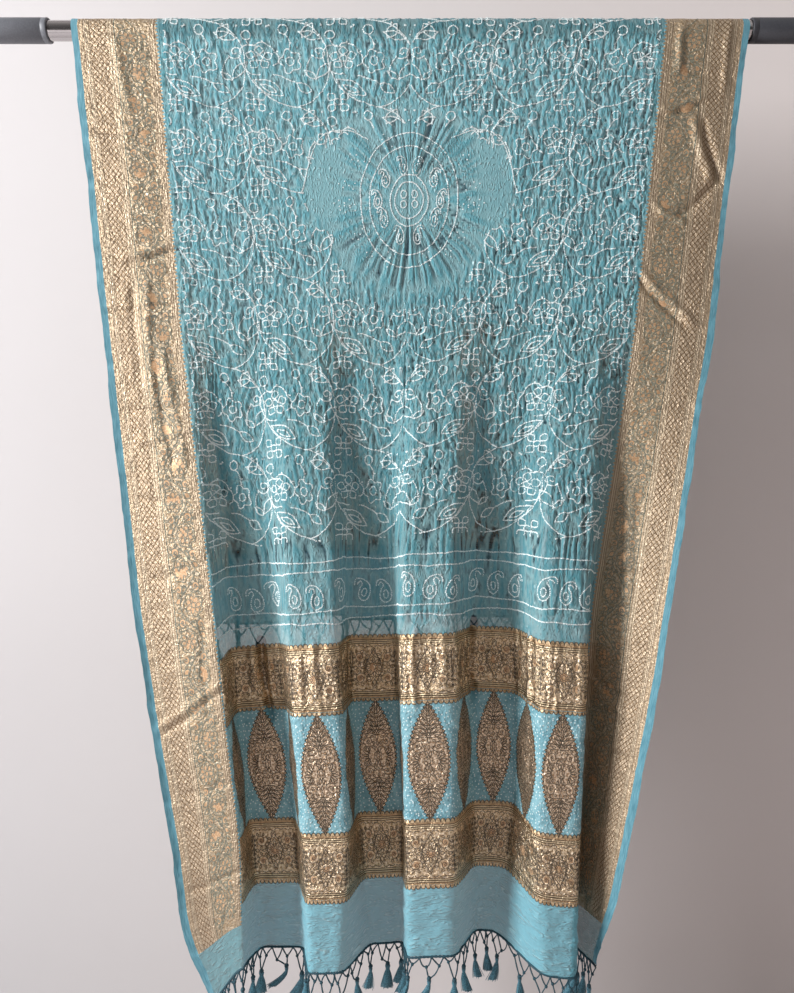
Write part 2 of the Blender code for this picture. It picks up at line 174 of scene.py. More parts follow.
# ---------------------------------------------------------------- how the cloth hangs
# One length of cotton lies over the rail. The front fall is the longer one. Both falls gather into deep
# folds towards their ends, and the two borders swing inwards as they drop.
TUBE_RADIUS, CLOTH_GAP, CLOTH_THICK, TURN_FACETS = 12.5, 0.3, 0.8, 16
# The cloth lies outside the corners of the solid's faceted turn round the tube
HUG_RADIUS = (TUBE_RADIUS + CLOTH_GAP) / math.cos(math.pi / TURN_FACETS) + CLOTH_THICK
TOWARD = {"front": -1.0, "back": 1.0}  # which way along Y each fall stands off the rail
COLUMN = 16.5
SELVEDGE = 10.0
FIELD_LEFT = 7 * COLUMN
FACET = 4 * COLUMN
FACETS = 13
FIELD_RIGHT = FIELD_LEFT + FACETS * FACET
BORDER_RIGHT = FIELD_RIGHT + FIELD_LEFT - SELVEDGE
CLOTH_WIDTH = BORDER_RIGHT + SELVEDGE
MIDDLE = CLOTH_WIDTH / 2
OVER = math.pi * HUG_RADIUS
HEM = {"front": 1215.0, "back": 785.0}
PLAIN_END, LOWER_BAND, MEDALLION_BAND, UPPER_BAND, BORDER_STOP = 91.0, 80.0, 155.0, 81.0, 58.0
# How far above the hem each part of the end panel begins
LOWER_TOP = PLAIN_END + LOWER_BAND
MEDALLION_TOP = LOWER_TOP + MEDALLION_BAND
UPPER_TOP = MEDALLION_TOP + UPPER_BAND

FRONT_LEVELS = (0.0, 400.0, 760.0, 1050.0, 1130.0, 1215.0)
BACK_LEVELS = (0.0, 400.0, 785.0)
LOW_LEVEL = 1050.0
BAND_LEVEL = 808.0
FOLD_RISE = {"front": (300.0, 900.0), "back": (40.0, 480.0)}
FOLD_REACH = {"front": (-2.0, 64.0), "back": (19.0, 62.0)}
BACK_DROP_SHARE = 0.4
# How softly the folds turn, for a point's place across, its reach from the rail's plane and its drop
ROUNDINGS = (12.0, 16.0, 46.0)
LEVEL_ROUNDING = 35.0
SHIFTS = np.linspace(-1.0, 1.0, 9)
EDGE_LINES = (
    # across, front x, back x, low reach, hem reach, back reach, band drop, hem drop
    (0.0, (-430, -386, -338, -286, -284, -245), (-430, -374, -318), 30, 0, 32, 42, 74),
    (SELVEDGE, (-421, -377, -329, -277, -272, -236), (-421, -366, -310), 27, 2, 32, 40, 71),
    (FIELD_LEFT, (-314, -281, -229, -196, -196, -195), (-314, -268, -220), 56, 50, 56, 24, -4),
    (FIELD_RIGHT, (351, 310, 257, 242, 238, 234), (351, 300, 246), -8, -10, 22, 8, 4),
    (BORDER_RIGHT, (456, 407, 334, 278, 268, 251), (456, 396, 337), 63, 26, 50, 24, 8),
    (CLOTH_WIDTH, (464, 415, 341, 287, 276, 254), (464, 404, 344), 68, 34, 50, 28, 10),
)
FOLD_LINES = (
    # low x, hem x, out, band drop, hem drop
    (-195, -180, 0, 16, 5),
    (-135, -125, 0, 12, 4),
    (-118, -110, 1, 3, 1),
    (-59, -68, 1, 0, 0),
    (-51, -36, 0, 0, 0),
    (8, 7, 0, 0, -1),
    (10, 13, 1, -12, -20),
    (74, 73, 1, -13, -21),
    (101, 103, 0, -12, -18),
    (155, 133, 0, -10, -18),
    (174, 180, 1, -3, 4),
    (230, 226, 1, 0, 8),
)
LINE_ACROSS = np.array(
    [row[0] for row in EDGE_LINES[:3]]
    + [FIELD_LEFT + FACET * (i + 1) for i in range(len(FOLD_LINES))]
    + [row[0] for row in EDGE_LINES[3:]]
)


def smooth_step(value, low, high):
    """0 below low, 1 above high, and the smooth cubic between them."""
    t = np.clip((value - low) / (high - low), 0.0, 1.0)
    return t * t * (3.0 - 2.0 * t)


def softened(level, levels, values):
    """Straight runs between the levels, with the turns rounded by averaging over a short window."""
    window = np.minimum(LEVEL_ROUNDING, np.maximum(level, 0.0))
    return sum(np.interp(level + s * window, levels, values) for s in SHIFTS) / len(SHIFTS)


def fold_lines(side, level):
    """x, reach and drop of every edge and fold line at each level: three arrays, a row for each line."""
    front = side == "front"
    inner, outer = FOLD_REACH[side]
    deepening = smooth_step(level, *FOLD_RISE[side])
    to_hem = np.clip((level - LOW_LEVEL) / (HEM[side] - LOW_LEVEL), 0.0, 1.0) if front else 0.0 * level
    sag = np.where(level < BAND_LEVEL, (np.maximum(level, 0.0) / BAND_LEVEL) ** 2, 1.0)
    to_hem_drop = np.clip((level - BAND_LEVEL) / (HEM["front"] - BAND_LEVEL), 0.0, 1.0)
    share = 1.0 if front else BACK_DROP_SHARE
    rows = []
    for _, front_x, back_x, low_reach, hem_reach, back_reach, band_drop, hem_drop in EDGE_LINES:
        x = softened(level, FRONT_LEVELS, front_x) if front else softened(level, BACK_LEVELS, back_x)
        reach = low_reach + (hem_reach - low_reach) * to_hem if front else back_reach + 0.0 * level
        drop = sag * (band_drop + (hem_drop - band_drop) * to_hem_drop) * share
        rows.append((x, HUG_RADIUS + (reach - HUG_RADIUS) * deepening, drop))
    left, right = rows[2][0], rows[3][0]
    (low_left, hem_left), (low_right, hem_right) = [(EDGE_LINES[i][1][3], EDGE_LINES[i][1][5]) for i in (2, 3)]
    for index, (low_x, hem_x, out, band_drop, hem_drop) in enumerate(FOLD_LINES):
        even = (index + 1) / FACETS
        place = even + ((low_x - low_left) / (low_right - low_left) - even) * deepening
        place = place + ((hem_x - hem_left) / (hem_right - hem_left) - place) * to_hem
        reach = HUG_RADIUS + ((outer if out else inner) - HUG_RADIUS) * deepening
        drop = sag * (band_drop + (hem_drop - band_drop) * to_hem_drop) * share
        rows.insert(3 + index, (left + (right - left) * place, reach, drop))
    return [np.array(column) for column in zip(*rows)]


def line_weights(across, rounding):
    """How much each edge or fold line counts at each place across, averaged over a window that rounds the folds."""
    near_edge = np.minimum(across, CLOTH_WIDTH - across)[:, None]
    window = SHIFTS * np.minimum(rounding, np.maximum(near_edge, 1e-6))
    share = np.cos(SHIFTS * math.pi / 2.2)
    places = across[:, None] + window
    hats = [np.interp(places, LINE_ACROSS, row) @ share for row in np.eye(len(LINE_ACROSS))]
    return np.array(hats).T / share.sum()


def hang(side, across, along):
    """Places in mm, (columns, rows, 3): along runs down a fall and, below 0, back over the rail as an arc."""
    across = np.clip(across, 0.0, CLOTH_WIDTH)
    level = np.maximum(along, 0.0)
    x, reach, drop = [line_weights(across, r) @ lines for r, lines in zip(ROUNDINGS, fold_lines(side, level))]
    angle = np.minimum(along, 0.0) / HUG_RADIUS
    rise = -(level + drop) - HUG_RADIUS * np.sin(angle)
    return np.stack([x, TOWARD[side] * reach * np.cos(angle), rise], axis=2)


# ---------------------------------------------------------------- creases, puckers and gathers
# Tying draws the cotton into fine upright puckers that stay after it is opened. The woven borders and
# bands only buckle softly, and handling has left a few long creases in them.
NOISE = np.random.default_rng(5).random((8, 256, 256))


def mottle(x, y, layer=0):
    """Smooth value noise from 0 to 1: seeded numbers at whole places, blended by the smooth cubic."""
    column, row = np.floor(x).astype(int), np.floor(y).astype(int)
    s, t = smooth_step(x - column, 0.0, 1.0), smooth_step(y - row, 0.0, 1.0)
    a, b = NOISE[layer][column % 256, row % 256], NOISE[layer][(column + 1) % 256, row % 256]
    c, d = NOISE[layer][column % 256, (row + 1) % 256], NOISE[layer][(column + 1) % 256, (row + 1) % 256]
    return (a + (b - a) * s) * (1 - t) + (c + (d - c) * s) * t


def ridges(x, y, layer):
    """Value noise folded at its middle: 0 along sharp troughs, and up to 1 on the rounded swellings between."""
    return np.abs(2 * mottle(x, y, layer) - 1)


CREASES = {
    # across and along at one end, at the other, height out of the cloth, half width: millimetres
    "front": (
        (12, 136, 118, 142, -1.6, 3.0), (8, 148, 80, 139, 1.2, 4.0), (5, 199, 100, 196, -1.3, 3.0),
        (40, 300, 122, 284, 1.8, 3.5), (44, 309, 120, 293, -1.6, 3.0), (10, 368, 116, 366, -1.5, 3.0),
        (12, 360, 112, 356, 1.0, 3.0), (16, 493, 122, 497, -1.5, 3.0), (30, 532, 118, 524, 1.6, 3.5),
        (20, 600, 90, 612, -1.2, 3.0), (26, 700, 110, 690, -1.1, 3.5), (10, 874, 118, 835, 1.8, 4.0),
        (14, 884, 118, 845, -1.6, 3.0), (30, 960, 110, 968, -1.2, 3.5), (20, 1078, 118, 1086, -1.6, 3.5),
        (979, 112, 1043, 95, 2.2, 3.5), (981, 120, 1043, 103, -2.0, 3.0), (1062, -8, 1060, 86, 2.4, 4.0),
        (1040, 126, 1070, 205, -3.0, 5.0), (1026, 120, 1056, 205, 2.8, 6.0), (1000, -6, 996, 60, 2.8, 4.0),
        (1005, 60, 1070, 70, -1.6, 4.0), (985, 235, 1030, 262, 2.4, 4.0), (1020, 250, 1068, 210, -2.4, 5.0),
        (60, 20, 66, 110, 1.2, 5.0), (72, 330, 62, 470, 1.2, 5.0), (50, 340, 44, 460, -1.0, 5.0),
        (84, 420, 96, 560, 1.2, 5.0), (70, 430, 78, 570, -1.2, 4.0), (96, 760, 84, 880, -1.4, 5.0),
        (1010, 600, 1026, 740, 1.5, 5.0), (975, 322, 1055, 388, 2.4, 4.0), (975, 332, 1050, 398, -2.2, 3.5),
        (980, 505, 1075, 498, -1.6, 3.5), (978, 560, 1060, 590, 1.3, 4.0),
        (985, 705, 1078, 700, -1.5, 3.5), (975, 777, 1070, 790, 1.5, 4.0), (972, 838, 1040, 862, -1.8, 3.5),
        (972, 846, 1040, 884, 1.6, 3.5), (990, 930, 1075, 938, -1.4, 4.0), (985, 1040, 1072, 1030, 1.4, 4.0),
        (222, 800, 224, 905, -7.0, 5.0), (709, 796, 708, 900, -7.0, 5.0), (348, 800, 350, 895, 2.0, 3.5),
        (596, 797, 592, 900, 2.0, 3.5), (814, 800, 812, 892, 2.2, 3.5), (866, 812, 862, 890, 1.8, 3.0),
        (470, 905, 505, 1030, 1.2, 4.0), (640, 915, 668, 935, 1.0, 3.0), (560, 1030, 700, 1046, -1.0, 3.0),
        (250, 1046, 330, 1110, -1.2, 4.0), (830, 1050, 905, 1116, 1.2, 4.0), (420, 1052, 440, 1120, 1.4, 4.0),
        (MIDDLE, -30, MIDDLE - 1, 790, -0.6, 2.6), (MIDDLE + 4, 0, MIDDLE + 3, 640, 0.3, 3.0),
        (300, 1140, 420, 1150, 1.0, 3.0), (480, 1165, 640, 1158, 1.1, 3.0), (520, 1186, 600, 1192, -0.9, 2.5),
        (700, 1150, 810, 1163, 1.0, 3.0), (180, 1172, 280, 1166, -1.0, 3.0), (850, 1180, 940, 1172, 1.1, 3.0),
    ),
    "back": (
        (10, 92, 116, 104, -1.6, 3.0), (14, 240, 112, 228, 1.5, 3.5), (12, 366, 118, 372, -1.4, 3.5),
        (20, 520, 110, 508, 1.6, 4.0), (12, 640, 116, 652, -1.5, 3.5), (980, 70, 1074, 96, 1.5, 4.0),
        (976, 190, 1066, 176, -1.6, 3.5), (984, 330, 1076, 352, 1.6, 4.0), (978, 470, 1070, 460, -1.5, 3.5),
        (985, 600, 1074, 622, 1.4, 4.0), (MIDDLE, 0, MIDDLE - 1, 370, -1.3, 2.0), (260, 385, 262, 452, 2.0, 3.5),
        (640, 380, 638, 455, -3.0, 5.0), (830, 384, 832, 456, 2.0, 3.5), (330, 710, 470, 722, 1.0, 3.0),
        (600, 730, 760, 722, -1.0, 3.0), (180, 742, 300, 750, 1.0, 3.0), (820, 700, 930, 716, 1.1, 3.0),
    ),
}
WHEEL_ALONG, WHEEL_RADIUS = 231.0, 89.0
PLAIN_ASIDE, PLAIN_ALONG = 152, 208  # the middle of each plain area beside the wheel
GATHER_ALONG, RIBS_FROM = 690, 706


def relief(side, across, along):
    """How far the cloth stands off its plain hang, in mm; each noise has its grain in mm across and along."""
    u, v = np.broadcast_arrays(np.asarray(across, float), np.asarray(along, float))
    front = side == "front"
    band_top = HEM[side] - UPPER_TOP
    inside = smooth_step(u, FIELD_LEFT - 5, FIELD_LEFT + 9) * (1 - smooth_step(u, FIELD_RIGHT - 9, FIELD_RIGHT + 5))
    dyed = inside * (1 - smooth_step(v, band_top - 30, band_top - 6))
    # Upright puckers, two sizes of them
    wander = 11.0 * mottle(u / 45, v / 26, 1) + 6.5 * mottle(u / 18, v / 12, 2)
    narrow = np.where(u > MIDDLE, 5.2, 5.8)
    coarse, fine = ridges((u + wander) / narrow, v / 13, 3), ridges((u - wander) / 4.0, v / 7, 4)
    puckers = 2.6 * coarse**0.8 + 1.7 * fine**0.9 - 1.5
    amount = np.where(u > MIDDLE, 1.15, 1.0) * (0.75 + 0.5 * mottle(u / 60, v / 50, 5))
    if front:
        # Round the tied wheel the puckers turn into rays, and two plain areas beside it stay smooth
        x, y = u - MIDDLE, (v - WHEEL_ALONG) * 1.25
        radius, angle = np.hypot(x, y), np.arctan2(y, x)
        near_wheel = 1 - smooth_step(radius, WHEEL_RADIUS + 50, WHEEL_RADIUS + 95)
        rays = ridges(angle * 23 + 70 + 0.6 * mottle(radius / 14, angle * 4, 6), radius / 60, 6)
        fading = 1 - smooth_step(radius, WHEEL_RADIUS + 40, WHEEL_RADIUS + 85)
        ray_depth = 3.0 * smooth_step(radius, 20, 70) * fading
        plain = np.exp(-(((np.abs(x) - PLAIN_ASIDE) / 36) ** 4) - ((v - PLAIN_ALONG) / 52) ** 4)
        puckers = puckers * (1 - near_wheel) + near_wheel * ray_depth * (rays**0.8 - 0.4)
        puckers = puckers * (1 - 0.88 * np.clip(plain * 1.4, 0, 1))
        # Below the last scallops the cloth is drawn into long pleats, and fine ribs join the dotted lines
        gather = np.exp(-(((v - GATHER_ALONG) / 38) ** 2))
        pleats = 3.6 * ridges((u + 0.3 * wander) / 7.5, v / 90 + 3, 7) ** 0.8 - 1.5
        puckers = puckers * (1 - 0.75 * gather) + pleats * gather
        below = smooth_step(v, RIBS_FROM, RIBS_FROM + 16)
        ribs = 2.6 * ridges((u + 0.2 * wander) / 6.5, v / 34, 7) - 1.0
        puckers = puckers * (1 - 0.6 * below) + ribs * 0.7 * below
    raised = dyed * amount * puckers
    # The woven parts buckle by a fraction of a millimetre
    woven = 1 - dyed
    buckle = 1.3 * (mottle(u / 13, v / 9, 5) - 0.5) + 0.8 * (mottle(u / 6, v / 5, 6) - 0.5)
    drawn_in = smooth_step(v, band_top - 8, band_top + 4) * (1 - smooth_step(v, band_top + 60, band_top + 96))
    buckle = buckle + inside * drawn_in * (3.4 * ridges(u / 8, v / 70, 2) - 1.4)
    raised = raised + woven * buckle
    end = smooth_step(v, HEM[side] - PLAIN_END, HEM[side] - PLAIN_END + 12)
    raised = raised + end * 1.5 * (ridges(u / 24 + 0.06 * v, v / 8, 7) ** 0.8 - 0.4)
    # The seam of border and field puckers in short darts
    seam = np.exp(-(((u - FIELD_LEFT) / 9) ** 2)) + np.exp(-(((u - FIELD_RIGHT) / 9) ** 2))
    darts = 1.3 * (ridges(u / 40, v / 7, 0) - 0.4) * (1 - smooth_step(v, band_top, band_top + 20))
    raised = raised + seam * darts
    for u0, v0, u1, v1, height, half in CREASES[side]:
        du, dv = u1 - u0, v1 - v0
        length = math.hypot(du, dv)
        t = ((u - u0) * du + (v - v0) * dv) / length**2
        off = ((u - u0) * dv - (v - v0) * du) / length + 2.0 * np.sin(5 * t)
        taper = np.clip(np.minimum(t, 1 - t) * 6 + 0.5, 0, 1)
        uneven = 0.7 + 0.6 * mottle(t * 7, 0 * t + height, 2)
        raised = raised + 1.6 * height * np.exp(-((off / half) ** 2)) * taper * uneven
    # Over the rail the cloth is pulled tight, and it lies down where the two falls meet behind
    if front:
        tight = smooth_step(v, -OVER, -0.55 * OVER)
        raised = np.where(v < 14, np.maximum(raised, -0.4), raised)
        return raised * tight * (0.45 + 0.55 * smooth_step(v, -10, 30))
    return raised * smooth_step(v, 0, 24)


def drape(side, across, along):
    """Places in metres, unit normals and the relief, all on a grid (columns, rows)."""
    wide = hang(side, across + 1.0, along) - hang(side, across - 1.0, along)
    deep = hang(side, across, along + 1.0) - hang(side, across, along - 1.0)
    outward = np.cross(deep, wide) * -TOWARD[side]
    outward /= np.linalg.norm(outward, axis=2)[..., None]
    raised = relief(side, across[:, None], along[None, :])
    points = hang(side, across, along) + outward * raised[..., None]
    # The selvedges are not quite straight: they draw in and out by a millimetre or two
    for rim, layer in ((0.0, 1), (CLOTH_WIDTH, 2)):
        near = np.exp(-(((across - rim) / 9) ** 2))[:, None]
        slow, quick = mottle(along / 34, 0 * along, layer) - 0.5, mottle(along / 9, 0 * along + 9, layer) - 0.5
        points[..., 0] += near * (2.6 * slow + 0.9 * quick)
    return points * MM, outward, raised


def steps(start, end, step, *through):
    """Even steps from start to end that also pass through the given places."""
    stops = [start, *through, end]
    runs = [np.linspace(a, b, max(1, round((b - a) / step)) + 1)[:-1] for a, b in zip(stops, stops[1:])]
    return np.concatenate(runs + [[end]])


def grid_faces(columns, rows, flip=False):
    """Quads of a grid whose points are numbered column by column."""
    a = (np.arange(columns - 1)[:, None] * rows + np.arange(rows - 1)).ravel()
    quads = np.stack([a, a + 1, a + rows + 1, a + rows], axis=1)
    return quads[:, ::-1] if flip else quads


def piece(name, points, faces, finish, nodes, slot, cut=None, crease=None):
    """A shell of the one body, with the nodes of the frame that it stands for; its slot is not used."""
    made = shell(name, points, faces, finish, cut, crease)
    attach(made, "root")
    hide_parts(*nodes)
    return made


surfaces = {}  # each woven part's across, along, points and outward, for what lies on it


def cloth(name, side, across, along, finish, edge, top, nodes, slot):
    """One woven part of a fall. Its UV map is the flat cloth in metres, from the line edge across and top down."""
    points, outward, raised = drape(side, across, along)
    surfaces[name] = (across, along, points, outward)
    u = across - edge if edge <= MIDDLE else edge - across
    cut = np.stack(np.meshgrid(u * MM, (along - top) * MM, indexing="ij"), axis=2).reshape(-1, 2)
    faces = grid_faces(len(across), len(along), side == "back")
    return piece(name, points.reshape(-1, 3), faces, finish, nodes, slot, cut, raised.ravel())


# The rows and columns of points: finer on the front, which shows the puckers
LEVELS, PLACES = {}, {}
for side, along_step, across_step in (("front", 3.4, 1.65), ("back", 5.6, 3.8)):
    seams = [HEM[side] - above for above in (UPPER_TOP, MEDALLION_TOP, LOWER_TOP, PLAIN_END, BORDER_STOP)]
    LEVELS[side] = steps(0.0, HEM[side], along_step, *seams)
    PLACES[side] = steps(FIELD_LEFT, FIELD_RIGHT, across_step, MIDDLE)
LEVELS["front"] = np.concatenate([steps(-OVER, 0.0, 3.6)[:-1], LEVELS["front"]])


def rows_between(side, start, end):
    """The rows of a fall from one level to another."""
    return LEVELS[side][(LEVELS[side] >= start - 1e-6) & (LEVELS[side] <= end + 1e-6)]


# ---------------------------------------------------------------- the cotton of the field and the ends
# Fine hand-woven cotton voile, dyed teal in one bath. It is matt and a little see-through. Its colour is darker
# in the troughs of the puckers and whiter on their crests: partly the dye, where the ties held the folds together,
# and partly painted shade in the troughs and a painted highlight on the crests.
cotton, tree, shader = new_material("dyed_cotton_voile", Roughness=0.88, Sheen_Weight=0.1, Alpha=0.8)
on_cloth = add(tree, "UVMap", {"uv_map": "cut"})
crease = add(tree, "Attribute", {"attribute_name": "crease"})
# The relief sets the colour: partly the dye, and partly painted shade in the troughs and a painted highlight on the
# crests
depth = add(tree, "MapRange", links={0: crease.outputs["Fac"], 1: -1.3, 2: 2.6, 3: 0.0, 4: 1.0})
dye_and_painted_shade_stops = ((0.0, "175464"), (0.26, "E4FAFA"), (0.52, "90D8E2"), (1.0, "FFFFFF"))
dye_and_painted_shade = add(tree, "ValToRGB", links={0: depth}, stops=dye_and_painted_shade_stops)
bath = add(tree, "TexNoise", links={"Vector": on_cloth, "Scale": 9.0, "Detail": 3.0})
patchy = add(tree, "ValToRGB", links={0: bath}, stops=((0.0, "D9E2E6"), (1.0, "FFFFFF")))
dyed = add(tree, "Mix", TINT, {0: 1.0, 6: dye_and_painted_shade, 7: patchy})
# Painted shade where the cloth lies tight against the rail, and painted light that makes the upper part of each
# fall brighter than its end
lying = add(tree, "SeparateXYZ", links={0: add(tree, "TexCoord").outputs["Object"]})
painted_rail_shade = add(tree, "MapRange", links={0: lying.outputs[2], 1: -0.019, 2: -0.012, 3: 1.0, 4: 0.66})
painted_upper_light = add(tree, "MapRange", links={0: lying.outputs[2], 1: -0.62, 2: -0.22, 3: 1.02, 4: 1.24})
painted_light_and_shade = add(tree, "Math", {"operation": "MULTIPLY"}, {0: painted_rail_shade, 1: painted_upper_light})
dyed = add(tree, "VectorMath", SCALE, {0: dyed.outputs[2], 3: painted_light_and_shade})
# Fine pinched wrinkles between the puckers, about 4 by 7 mm, darker where they lie low: painted shade
pinch_place = add(tree, "Mapping", links={0: on_cloth, 3: (235.0, 145.0, 1.0)})
ridged = {"noise_type": "RIDGED_MULTIFRACTAL"}
pinch = add(tree, "TexNoise", ridged, {"Vector": pinch_place, "Scale": 1.0, "Detail": 2.0, "Distortion": 0.8})
painted_wrinkle_shade = add(tree, "ValToRGB", links={0: pinch}, stops=((0.2, "9EB9BE"), (0.7, "FFFFFF")))
dyed = add(tree, "Mix", TINT, {0: 1.0, 6: dyed, 7: painted_wrinkle_shade})
# Slubs and crushed threads, drawn at 1.4 by 9 mm, coarser than the real 0.3 mm yarn so that they show
yarn_place = add(tree, "Mapping", links={0: on_cloth, 3: (700.0, 110.0, 1.0)})
yarn = add(tree, "TexNoise", links={"Vector": yarn_place, "Scale": 1.0, "Detail": 2.0})
pinched = add(tree, "Bump", links={"Strength": 1.0, "Distance": 0.003, "Height": pinch})
grain = add(tree, "Bump", links={"Strength": 0.5, "Distance": 0.0006, "Height": yarn, "Normal": pinched})
connect(shader, {"Base Color": dyed.outputs[2], "Normal": grain})

# The plain end and the corners below the borders are the same voile, crushed into fine level wrinkles. Its colour
# is darker where the wrinkles lie low, which is painted shade, and the corners take a darker copy: painted shade.
flat_cotton = {}
for name, clear, dark, light in (
    ("plain_cotton_voile", 0.86, "68A8B8", "A4DAE4"),
    # The corners' copy is darker all over: painted shade
    ("painted_shade_cotton_voile", 0.8, "447F88", "79AAB2"),
):
    flat_cotton[name], tree, shader = new_material(name, Roughness=0.86, Sheen_Weight=0.1, Alpha=clear)
    on_cloth = add(tree, "UVMap", {"uv_map": "cut"})
    crushed_place = add(tree, "Mapping", links={0: on_cloth, 3: (60.0, 230.0, 1.0)})
    folds = {"Vector": crushed_place, "Scale": 1.0, "Detail": 3.0, "Distortion": 1.2}
    crushed = add(tree, "TexNoise", ridged, folds)
    # Painted shade: darker where the wrinkles lie low
    painted_crinkle_shade = add(tree, "ValToRGB", links={0: crushed}, stops=((0.1, dark), (0.8, light)))
    wrinkle = add(tree, "Bump", links={"Strength": 1.0, "Distance": 0.0032, "Height": crushed})
    connect(shader, {"Base Color": painted_crinkle_shade, "Normal": wrinkle})


def grained(name, grain, stops, bump=(0.0, 0.0), detail=2.0, woven=False, **sockets):
    """One tone broken by fine noise; grain is its scale on each axis, and bump its (strength, metres)."""
    made, tree, shader = new_material(name, **sockets)
    place = add(tree, "UVMap", {"uv_map": "cut"}) if woven else add(tree, "TexCoord").outputs["Object"]
    scaled = add(tree, "Mapping", links={0: place, 3: grain})
    noise = add(tree, "TexNoise", links={"Vector": scaled, "Scale": 1.0, "Detail": detail})
    tone = add(tree, "ValToRGB", links={0: noise}, stops=stops)
    connect(shader, {"Base Color": tone})
    if bump[0]:
        rough = add(tree, "Bump", links={"Strength": bump[0], "Distance": bump[1], "Height": noise})
        connect(shader, {"Normal": rough})
    return made


# Plain selvedge: the same cotton, with its outermost warp threads packed close
selvedge_cotton = grained(
    "plain_cotton_selvedge", (900.0, 60.0, 1.0), ((0.3, "457F90"), (0.7, "6FA3B2")), (0.6, 0.0005), woven=True,
    Roughness=0.8, Sheen_Weight=0.1,
)

# ---------------------------------------------------------------- the gold woven borders and bands
# Extra weft of zari, a metal-wrapped thread, woven in by a jacquard: fine stripes, a diamond lattice, and a
# dense creeper of flowers in gold, cream and peach, outlined in grey-green silk. It shines softly.
DIAMOND_WIDE, DIAMOND_TALL, LATTICE_LINE = 7.0, 7.6, 1.24


def crushed_weave(tree, place, ribs, height, roughness, strengths, deep):
    """Weft ribs, with height added to them, and over them the small facets into which stiff zari crushes."""
    weft_place = add(tree, "Mapping", links={0: place, 3: (*ribs, 1.0)})
    weft = add(tree, "TexNoise", links={"Vector": weft_place, "Scale": 1.0, "Detail": 2.0})
    raised = add(tree, "Math", {"operation": "MULTIPLY_ADD"}, {0: height, 1: 0.5, 2: weft})
    ribbed = add(tree, "Bump", links={"Strength": strengths[0], "Distance": 0.0006, "Height": raised})
    facets = {"Vector": place, "Scale": 0.24, "Detail": 3.0, "Roughness": roughness, "Distortion": 0.5}
    crushed = add(tree, "TexNoise", links=facets)
    links = {"Strength": strengths[1], "Distance": deep, "Height": crushed, "Normal": ribbed}
    return add(tree, "Bump", links=links)


def zari_cloth(name, upright, width, stripes, creeper, ground, rough, metallic, lattice=None):
    """Brocade of a strip, all in mm: stripes are (start, colour), and creeper and lattice (start, end)."""
    made, tree, shader = new_material(name, Metallic=metallic, Roughness=rough)
    on_cloth = add(tree, "UVMap", {"uv_map": "cut"})
    place = add(tree, "VectorMath", SCALE, {0: on_cloth, 3: 1000.0})
    parts = add(tree, "SeparateXYZ", links={0: place})
    across, down = (parts.outputs[0], parts.outputs[1]) if upright else (parts.outputs[1], parts.outputs[0])
    share = add(tree, "Math", {"operation": "DIVIDE"}, {0: across, 1: width})
    stops = [(start / width, tone) for start, tone in stripes]
    striped = add(tree, "ValToRGB", links={0: share}, stops=stops)
    striped.color_ramp.interpolation = "CONSTANT"
    # The ground under the figures: small mottled floats of gold, brown and peach
    speckle = add(tree, "TexNoise", links={"Vector": place, "Scale": 0.3, "Detail": 3.0, "Roughness": 0.65})
    floats = add(tree, "ValToRGB", links={0: speckle}, stops=zip((0.0, 0.4, 0.5, 0.6, 1.0), ground))

    def between(start, end):
        above = add(tree, "Math", {"operation": "GREATER_THAN"}, {0: across, 1: start})
        below = add(tree, "Math", {"operation": "LESS_THAN"}, {0: across, 1: end})
        return add(tree, "Math", {"operation": "MULTIPLY"}, {0: above, 1: below})

    where = between(*creeper)
    colour = add(tree, "Mix", BLEND, {0: where, 6: striped, 7: floats}).outputs[2]
    height = add(tree, "Math", {"operation": "MULTIPLY"}, {0: where, 1: speckle})
    if lattice:
        # The lattice: two slanting sets of lines, each 1.24 mm wide, leave diamonds 7.0 by 7.6 mm
        slants = []
        for lean in (1.0, -1.0):
            slope = add(tree, "Math", {"operation": "MULTIPLY"}, {0: down, 1: lean * DIAMOND_WIDE / DIAMOND_TALL})
            along = add(tree, "Math", {"operation": "ADD"}, {0: across, 1: slope})
            slants.append(add(tree, "Math", {"operation": "PINGPONG"}, {0: along, 1: DIAMOND_WIDE / 2}))
        nearer = add(tree, "Math", {"operation": "MINIMUM"}, {0: slants[0], 1: slants[1]})
        net = add(tree, "Math", {"operation": "LESS_THAN"}, {0: nearer, 1: LATTICE_LINE / 2})
        here = add(tree, "Math", {"operation": "MULTIPLY"}, {0: between(*lattice), 1: net})
        colour = add(tree, "Mix", BLEND, {0: here, 6: colour, 7: linear("7E6546")}).outputs[2]
        height = add(tree, "Math", {"operation": "SUBTRACT"}, {0: height, 1: here})
    # The border's inner rim: the weft floats end in teeth against the teal ground
    saw = add(tree, "Math", {"operation": "PINGPONG"}, {0: down, 1: 2.4})
    tooth = add(tree, "Math", {"operation": "MULTIPLY"}, {0: saw, 1: 1.9 if upright else 0.0})
    rim_distance = add(tree, "Math", {"operation": "SUBTRACT"}, {0: width, 1: across})
    bare = add(tree, "Math", {"operation": "LESS_THAN"}, {0: rim_distance, 1: tooth})
    colour = add(tree, "Mix", BLEND, {0: bare, 6: colour, 7: linear("6FA3AF")}).outputs[2]
    metal = add(tree, "MapRange", links={0: bare, 3: metallic, 4: 0.0})
    # Weft ribs, drawn at 1.6 mm, coarser than the real 0.4 mm so that they show
    ribs = (0.25, 0.62) if upright else (0.62, 0.25)
    bump = crushed_weave(tree, place, ribs, height, 0.6, (0.7, 1.0), 0.003)
    connect(shader, {"Base Color": colour, "Metallic": metal, "Normal": bump})
    return made


